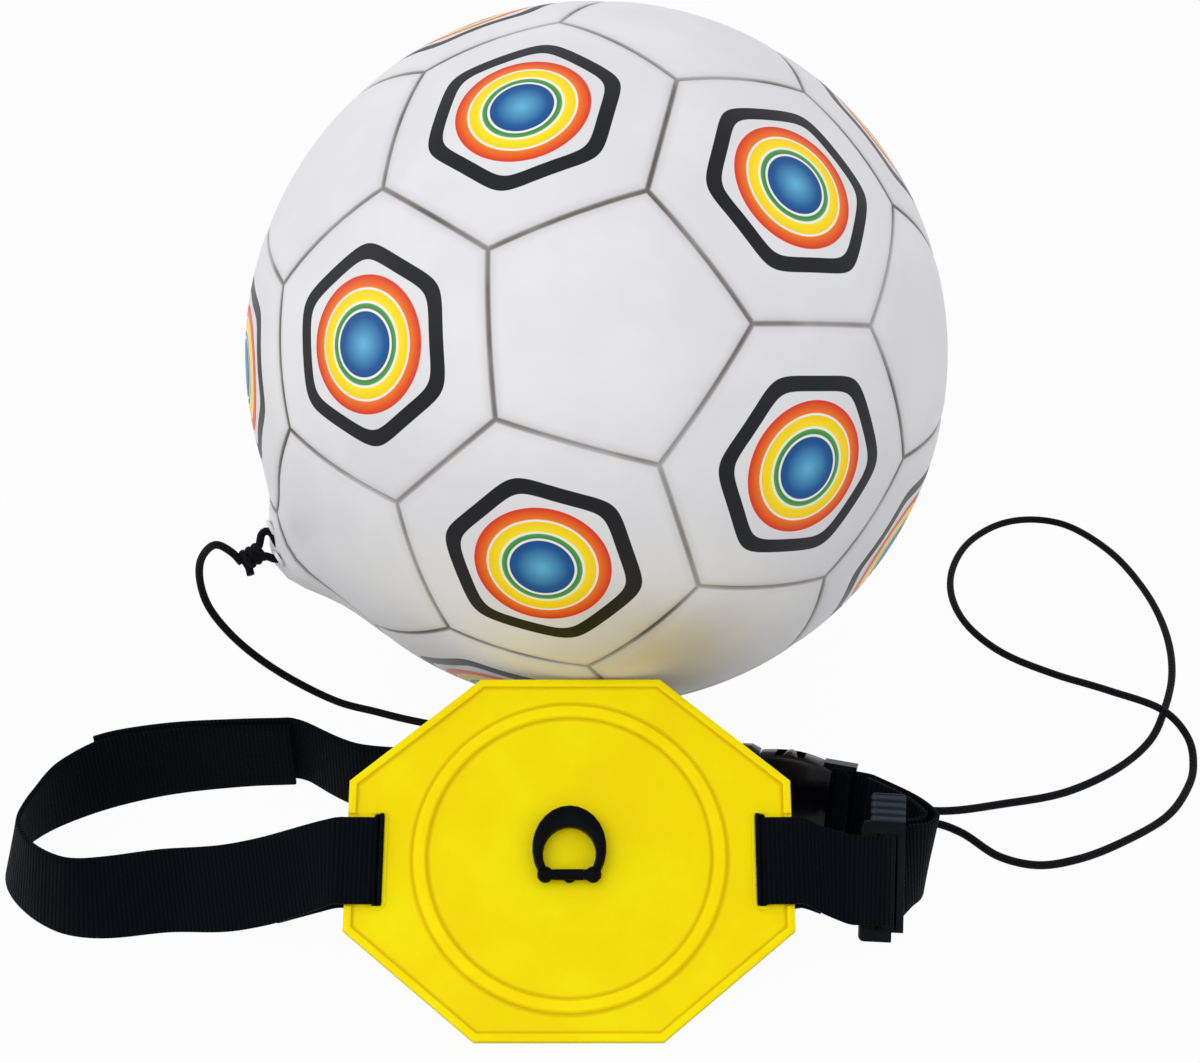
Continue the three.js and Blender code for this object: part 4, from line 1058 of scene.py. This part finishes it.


# %% [markdown]
# ### The leather of the ball
# The skin is white synthetic leather with a fine pebbled grain and a thin satin coat. Each seam is a dark line with a
# little grime, and beside it shade is painted in, so the colour falls off with the distance that each panel keeps to
# its own border. The printed panels add a badge: plain coloured rings inside a black six-sided band, drawn in the
# panel's own UV map, so it is the same on each one.

# %% The rings of the badge, from the middle outwards, in millimetres
badge_reach, rings_end = 24.0, 19.5
paper = shade(240, 240, 240)
ring_stops = [
    (0.0, shade(96, 178, 214)), (7.2, shade(10, 84, 146)), (9.0, shade(8, 70, 132)),
    (9.2, paper), (9.7, paper), (9.9, shade(46, 128, 62)), (11.2, shade(86, 158, 70)),
    (11.4, paper), (11.9, paper), (12.1, shade(252, 226, 30)), (15.0, shade(250, 208, 20)),
    (15.2, paper), (15.6, paper), (15.8, shade(240, 120, 28)), (19.2, shade(214, 48, 26)),
    (rings_end, paper),
]


def badge_rings(skin, radius):
    """The rings' colour at a radius, as a ramp."""
    rings = skin.nodes.new("ShaderNodeValToRGB")
    ramp = rings.color_ramp
    ramp.interpolation = "LINEAR"
    for i, (place_mm, colour) in enumerate(ring_stops):
        share = place_mm / badge_reach
        stop = ramp.elements[i] if i < 2 else ramp.elements.new(share)
        stop.position = share
        stop.color = colour
    skin.put(rings.inputs["Fac"], skin.math("DIVIDE", radius, badge_reach))
    return rings.outputs["Color"]


# %% The badge's band
band_inner, band_outer, edge_blur = 21.7, 26.0, 0.1
corner_power = 12.0


def hexagon_size(skin, u, v):
    """How large a six-sided shape with round corners reaches a point, in millimetres."""
    total = None
    for i in range(3):
        angle = math.radians(60 * i)
        across = skin.times(u, 1000 * math.cos(angle))
        reach = skin.plus(across, skin.times(v, 1000 * math.sin(angle)))
        power = skin.math("POWER", skin.math("ABSOLUTE", reach), corner_power)
        total = power if total is None else skin.plus(total, power)
    return skin.math("POWER", total, 1 / corner_power)


def badge(skin, white):
    """The badge drawn on a panel's white."""
    u, v = skin.uv_parts()
    radius = skin.times(skin.length(u, v), 1000.0)
    inside = skin.between(radius, rings_end - edge_blur, rings_end + edge_blur, 1.0, 0.0)
    size = hexagon_size(skin, u, v)
    band = skin.times(
        skin.between(size, band_inner - edge_blur, band_inner + edge_blur),
        skin.between(size, band_outer - edge_blur, band_outer + edge_blur, 1.0, 0.0),
    )
    white = skin.mix(inside, white, badge_rings(skin, radius))
    return skin.mix(band, white, shade(8, 9, 15))


# %% Cover
# A spot low on the ball's front, towards the plate, where the plate's yellow bounce light is painted in.
plate_glow_spot = ball_middle + Vector((0.12, -0.895, -0.429)) * ball_radius


def cover_finish(name, printed):
    """The leather: patches, the badge if there is one, the seams with painted shade beside them, and a painted warm
    glow low down.
    """
    skin = Finish(name, 0.42, Coat_Weight=0.05, Coat_Roughness=0.25, Specular_IOR_Level=0.22)
    patches = skin.noise(22.0, 4.0)
    white = skin.mix(
        skin.between(patches, 0.35, 0.7), shade(219, 219, 223), shade(228, 228, 230)
    )
    if printed:
        white = badge(skin, white)
    attribute = skin.nodes.new("ShaderNodeAttribute")
    attribute.attribute_name = "to_seam"
    to_seam = attribute.outputs["Fac"]
    # A noise varies the strength of the seams' grime and of the painted light on the leather.
    dirt_and_painted_light_noise = skin.between(skin.noise(28.0), 0.3, 0.7, 0.5, 1.0)
    # Painted shade beside each seam, fading out 3.6 mm from it; the line after it is the seam's own dark colour.
    shadow = skin.times(skin.between(to_seam, 0.0, 3.6, 0.24, 0.0), dirt_and_painted_light_noise)
    white = skin.mix(shadow, white, shade(130, 124, 112))
    line = skin.times(skin.between(to_seam, 0.15, 1.0, 0.95, 0.0), dirt_and_painted_light_noise)
    white = skin.mix(line, white, shade(86, 80, 70))
    # Painted light: a warm yellow glow round that spot, standing in for the light that the plate throws back onto the
    # ball.
    spot = skin.measured("DISTANCE", plate_glow_spot)
    painted_plate_glow = skin.times(skin.between(spot, 0.006, 0.05, 0.6, 0.0), dirt_and_painted_light_noise)
    warm = skin.mix(1.0, white, shade(208, 190, 128), "MULTIPLY")
    skin.colour(skin.mix(painted_plate_glow, white, warm))
    skin.roughness(skin.between(patches, 0.3, 0.7, 0.38, 0.5))
    grain = skin.bump(skin.cells(1100.0), 0.00006, 0.35)
    skin.normal(skin.bump(skin.noise(60.0, 2.0), 0.0004, 0.3, grain))
    return skin


cover_finish("white_synthetic_leather", printed=False).on(*pentagons)
cover_finish("printed_synthetic_leather", printed=True).on(*hexagons)

# %% [markdown]
# ### Yellow plastic
# The plate is a flexible polyethylene moulding. Light goes a little way in, the surface is satin, and slow waves from
# the mould show in its gloss. A little shade is painted at the feet of the round rib and the raised rim, which are
# found by their distances, in millimetres, from the plate's middle and its edge.

# %% The plate's outline as distances
half_width, half_height = 63.40, 52.25
plate_middle = plate_place @ Vector((0, half_height / 1000, 0))
rib_feet, rim_foot = (40.3, 44.9), 2.6
corner_direction, corner_reach = (0.6359, 0.7718), 56.99


def to_plate_edge(finish, from_left, from_below):
    """How far a point of the plate is inside the nearest of its eight edges."""
    across = finish.math("ABSOLUTE", from_left)
    upward = finish.math("ABSOLUTE", from_below)
    corner = finish.plus(
        finish.times(across, corner_direction[0]), finish.times(upward, corner_direction[1])
    )
    to_sides = finish.math(
        "MINIMUM", finish.minus(half_width, across), finish.minus(half_height, upward)
    )
    return finish.math("MINIMUM", to_sides, finish.minus(corner_reach, corner))


# %% Plate
yellow = Finish("yellow_polyethylene", 0.45, Subsurface_Weight=0.7, Subsurface_Scale=0.004,
                Subsurface_Radius=(1.0, 0.8, 0.1), Specular_IOR_Level=0.06)
yellow_shade = shade(196, 164, 0)
patches = yellow.between(yellow.noise(35.0, 4.0), 0.35, 0.7)
base = yellow.mix(patches, shade(244, 216, 0), shade(250, 226, 2))
from_left = yellow.along((1, 0, 0), plate_middle)
from_below = yellow.along(plate_up, plate_middle)
from_middle = yellow.length(from_left, from_below)
# Painted shade along both feet of the round rib.
for radius in rib_feet:
    painted_foot_shade = yellow.between(yellow.off(from_middle, radius), 0.0, 1.1, 0.5, 0.0)
    base = yellow.mix(painted_foot_shade, base, yellow_shade)
# Painted shade along the foot of the raised rim.
to_edge = to_plate_edge(yellow, from_left, from_below)
painted_foot_shade = yellow.between(yellow.off(to_edge, rim_foot), 0.0, 0.9, 0.4, 0.0)
yellow.colour(yellow.mix(painted_foot_shade, base, yellow_shade))
yellow.roughness(yellow.between(yellow.noise(90.0), 0.3, 0.7, 0.36, 0.5))
fine = yellow.bump(yellow.noise(1500.0, 2.0), 0.00005, 0.4)
yellow.normal(yellow.bump(yellow.noise(70.0, 2.0), 0.0005, 0.25, fine))
yellow.on(plate)

# %% [markdown]
# ### Black plastics and rubber
# The buckle is polished, the slide and the anchor have a dull moulded grain, and the valve and
# the bladder are matt rubber. In a white room black looks grey as soon as it mirrors much, so
# its reflection is kept low.

# %% Black pieces
def black_finish(name, colour, gloss, shine, grain, depth):
    """A near-black finish with a roughness, a level of reflection and a grain."""
    finish = Finish(name, gloss, Specular_IOR_Level=shine)
    worn = finish.noise(120.0, 4.0)
    lighter = tuple(min(1.0, c * 1.9 + 0.001) for c in colour[:3]) + (1.0,)
    finish.colour(finish.mix(finish.between(worn, 0.45, 0.8), colour, lighter))
    finish.roughness(finish.between(worn, 0.3, 0.75, gloss * 0.8, gloss * 1.3))
    finish.normal(finish.bump(finish.noise(grain), depth, 0.5))
    return finish


black_finish("polished_black_acetal", shade(4, 5, 9), 0.2, 0.16, 300.0, 0.00008).on(
    hardware["buckle_socket"], hardware["buckle_plug"],
    hardware["buckle_arm_upper"], hardware["buckle_arm_lower"],
)
black_finish("satin_black_plastic", shade(3, 4, 7), 0.42, 0.04, 1300.0, 0.00006).on(
    hardware["anchor_crossbar"], hardware["anchor_stem"], hardware["anchor_bail"], *necks,
)
black_finish("matt_black_rubber", shade(20, 20, 22), 0.75, 0.2, 700.0, 0.0001).on(bladder, valve)

# %% The slide, with a painted highlight on the ribs of its tab
tab_start, rib_crest = 29.0, 30.25
ribbed = black_finish("ribbed_black_plastic", shade(3, 4, 8), 0.42, 0.07, 1300.0, 0.00006)
up_the_slide = ribbed.along(slide_up, slide_place.translation)
from_crest = ribbed.minus(up_the_slide, rib_crest)
ribs = ribbed.math("COSINE", ribbed.times(from_crest, math.pi))
on_tab = ribbed.between(up_the_slide, tab_start, tab_start + 0.6)
# Painted highlight: the tab's rib crests are drawn lighter than its grooves and the bars, as light from above would
# show them.
painted_tab_highlight = ribbed.times(on_tab, ribbed.between(ribs, -0.9, 0.1, 0.25, 1.0))
dark = ribbed.shader.inputs["Base Color"].links[0].from_socket
ribbed.colour(ribbed.mix(painted_tab_highlight, dark, shade(46, 54, 62)))
ribbed.on(hardware["three_bar_slide"], *webs)

# %% The lug's white plastic
plastic = Finish("white_lug_plastic", 0.38)
patches = plastic.noise(300.0)
plastic.colour(plastic.mix(patches, shade(214, 214, 218), shade(232, 232, 234)))
plastic.normal(plastic.bump(plastic.noise(900.0), 0.00005, 0.4))
plastic.on(lug, *eyelets)

# %% [markdown]
# ### Webbing and cord
# Polypropylene webbing has a rib across its width for each pass of the weft, and each rib is broken by the warp. The
# cord's cover is a braid: two families of threads that wind round it in opposite directions. Both are drawn in the
# pieces' UV maps, which are in metres. On both, the crests are painted lighter than the grooves, as painted highlight
# and shade.

# %% Webbing
weft_pitch, warp_pitch = 0.0013, 0.0009
webbing = Finish("black_ribbed_webbing", 0.7, Sheen_Weight=0.01, Sheen_Roughness=0.5,
                 Specular_IOR_Level=0.04)
u, v = webbing.uv_parts()
warp = webbing.times(webbing.wave(v, warp_pitch), 0.35)
weave = webbing.plus(webbing.wave(u, weft_pitch), warp)
fluff = webbing.noise(900.0)
# Painted highlight on the crests of the ribs, mixed with a fine noise of fluff.
crest_highlight_and_fluff = webbing.between(webbing.plus(weave, fluff), -0.4, 1.6)
webbing.colour(webbing.mix(crest_highlight_and_fluff, shade(1, 2, 5), shade(6, 10, 18)))
webbing.normal(webbing.bump(webbing.plus(weave, webbing.times(fluff, 0.6)), 0.00018, 0.8))
webbing.on(*straps, *folds)

# %% Cord
strands_round, strand_pitch = 4, 0.0018
braid = Finish("black_braided_elastic", 0.65, Sheen_Weight=0.02, Sheen_Roughness=0.5,
               Specular_IOR_Level=0.08)
u, v = braid.uv_parts()
lead = braid.times(u, 2 * math.pi / strand_pitch)
wind = braid.times(v, 2 * math.pi * strands_round / (math.pi * cord_diameter))
one = braid.math("SINE", braid.plus(lead, wind))
two = braid.math("SINE", braid.minus(lead, wind))
strands = braid.math("MAXIMUM", one, two)
# The strands' crests are painted lighter than the grooves between them: painted highlight and shade.
braid.colour(braid.mix(braid.between(strands, 0.0, 1.0), shade(2, 2, 4), shade(10, 11, 15)))
braid.normal(braid.bump(strands, 0.00015, 0.7))
braid.on(cord_stretch, cord_floor, ball_knot, anchor_knot)

# %% [markdown]
# ## Floor and light
# A pale floor takes the set's soft shadow. To the camera and in mirrors the floor and the sky
# are lifted to white, while the light that they give the set stays at a plain level. A large
# lamp stands high on the left, and two weaker ones on the right and the far left.

# %% Rays that see the white room
def seen_directly(tree):
    """1 for a ray from the camera, a mirror or a clear piece, and 0 for any other."""
    rays = tree.nodes.new("ShaderNodeLightPath")
    seen = rays.outputs["Is Camera Ray"]
    for kind in ("Is Glossy Ray", "Is Transmission Ray"):
        either = tree.nodes.new("ShaderNodeMath")
        either.operation = "MAXIMUM"
        tree.links.new(seen, either.inputs[0])
        tree.links.new(rays.outputs[kind], either.inputs[1])
        seen = either.outputs[0]
    return seen


# %% Floor
floor_grey, floor_lift = 0.5, 0.96
ground = bmesh.new()
bmesh.ops.create_grid(ground, x_segments=1, y_segments=1, size=6)
floor = finished(ground, "floor", smooth=False)
pale = Finish("pale_floor", 0.9)
pale.colour((floor_grey, floor_grey, floor_grey, 1))
white_glow = pale.nodes.new("ShaderNodeEmission")
lifted = pale.nodes.new("ShaderNodeMixShader")
seen = seen_directly(pale.material.node_tree)
pale.put(lifted.inputs["Fac"], pale.times(seen, floor_lift))
pale.links.new(pale.shader.outputs[0], lifted.inputs[1])
pale.links.new(white_glow.outputs[0], lifted.inputs[2])
pale.links.new(lifted.outputs[0], pale.nodes["Material Output"].inputs["Surface"])
pale.on(floor)
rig.stage(floor)

# %% Sky
sky_light, sky_seen = 0.78, 1.0
world = bpy.data.worlds.new("studio")
bpy.context.scene.world = world
world.use_nodes = True
tree = world.node_tree
sky = tree.nodes["Background"]
sky.inputs["Color"].default_value = (1, 1, 1, 1)
lift = tree.nodes.new("ShaderNodeMapRange")
lift.inputs["To Min"].default_value = sky_light
lift.inputs["To Max"].default_value = sky_seen
tree.links.new(seen_directly(tree), lift.inputs["Value"])
tree.links.new(lift.outputs[0], sky.inputs["Strength"])
print("sky:", sky_light, "on the set,", sky_seen, "to the camera")

# %% Lamps
def softbox(name, place, size, power):
    """A square lamp that faces the middle of the set."""
    light = bpy.data.lights.new(name, "AREA")
    light.shape, light.size, light.energy = "SQUARE", size, power
    lamp = bpy.data.objects.new(name, light)
    lamp.location = place
    lamp.rotation_mode = "QUATERNION"
    lamp.rotation_quaternion = (lit_spot - Vector(place)).to_track_quat("-Z", "Y")
    bpy.context.scene.collection.objects.link(lamp)
    print(name, power, "W")


lit_spot = Vector((0, 0, 0.08))
softbox("key_softbox", (-0.7, -1.0, 1.4), 1.3, 8.5)
softbox("fill_softbox", (1.2, -0.9, 0.9), 0.9, 3)
softbox("side_softbox", (-1.5, -0.1, 0.6), 0.8, 3)
bpy.context.scene.view_settings.view_transform = "Standard"

# %% Hand over
visual_box = [list(corner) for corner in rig.bounds()]
with open("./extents.json", "w") as sizes:
    json.dump({"cad": cad_box, "visual": visual_box}, sizes)
print("solids' box:", [[round(x, 4) for x in corner] for corner in cad_box])
print("visible box:", [[round(x, 4) for x in corner] for corner in visual_box])
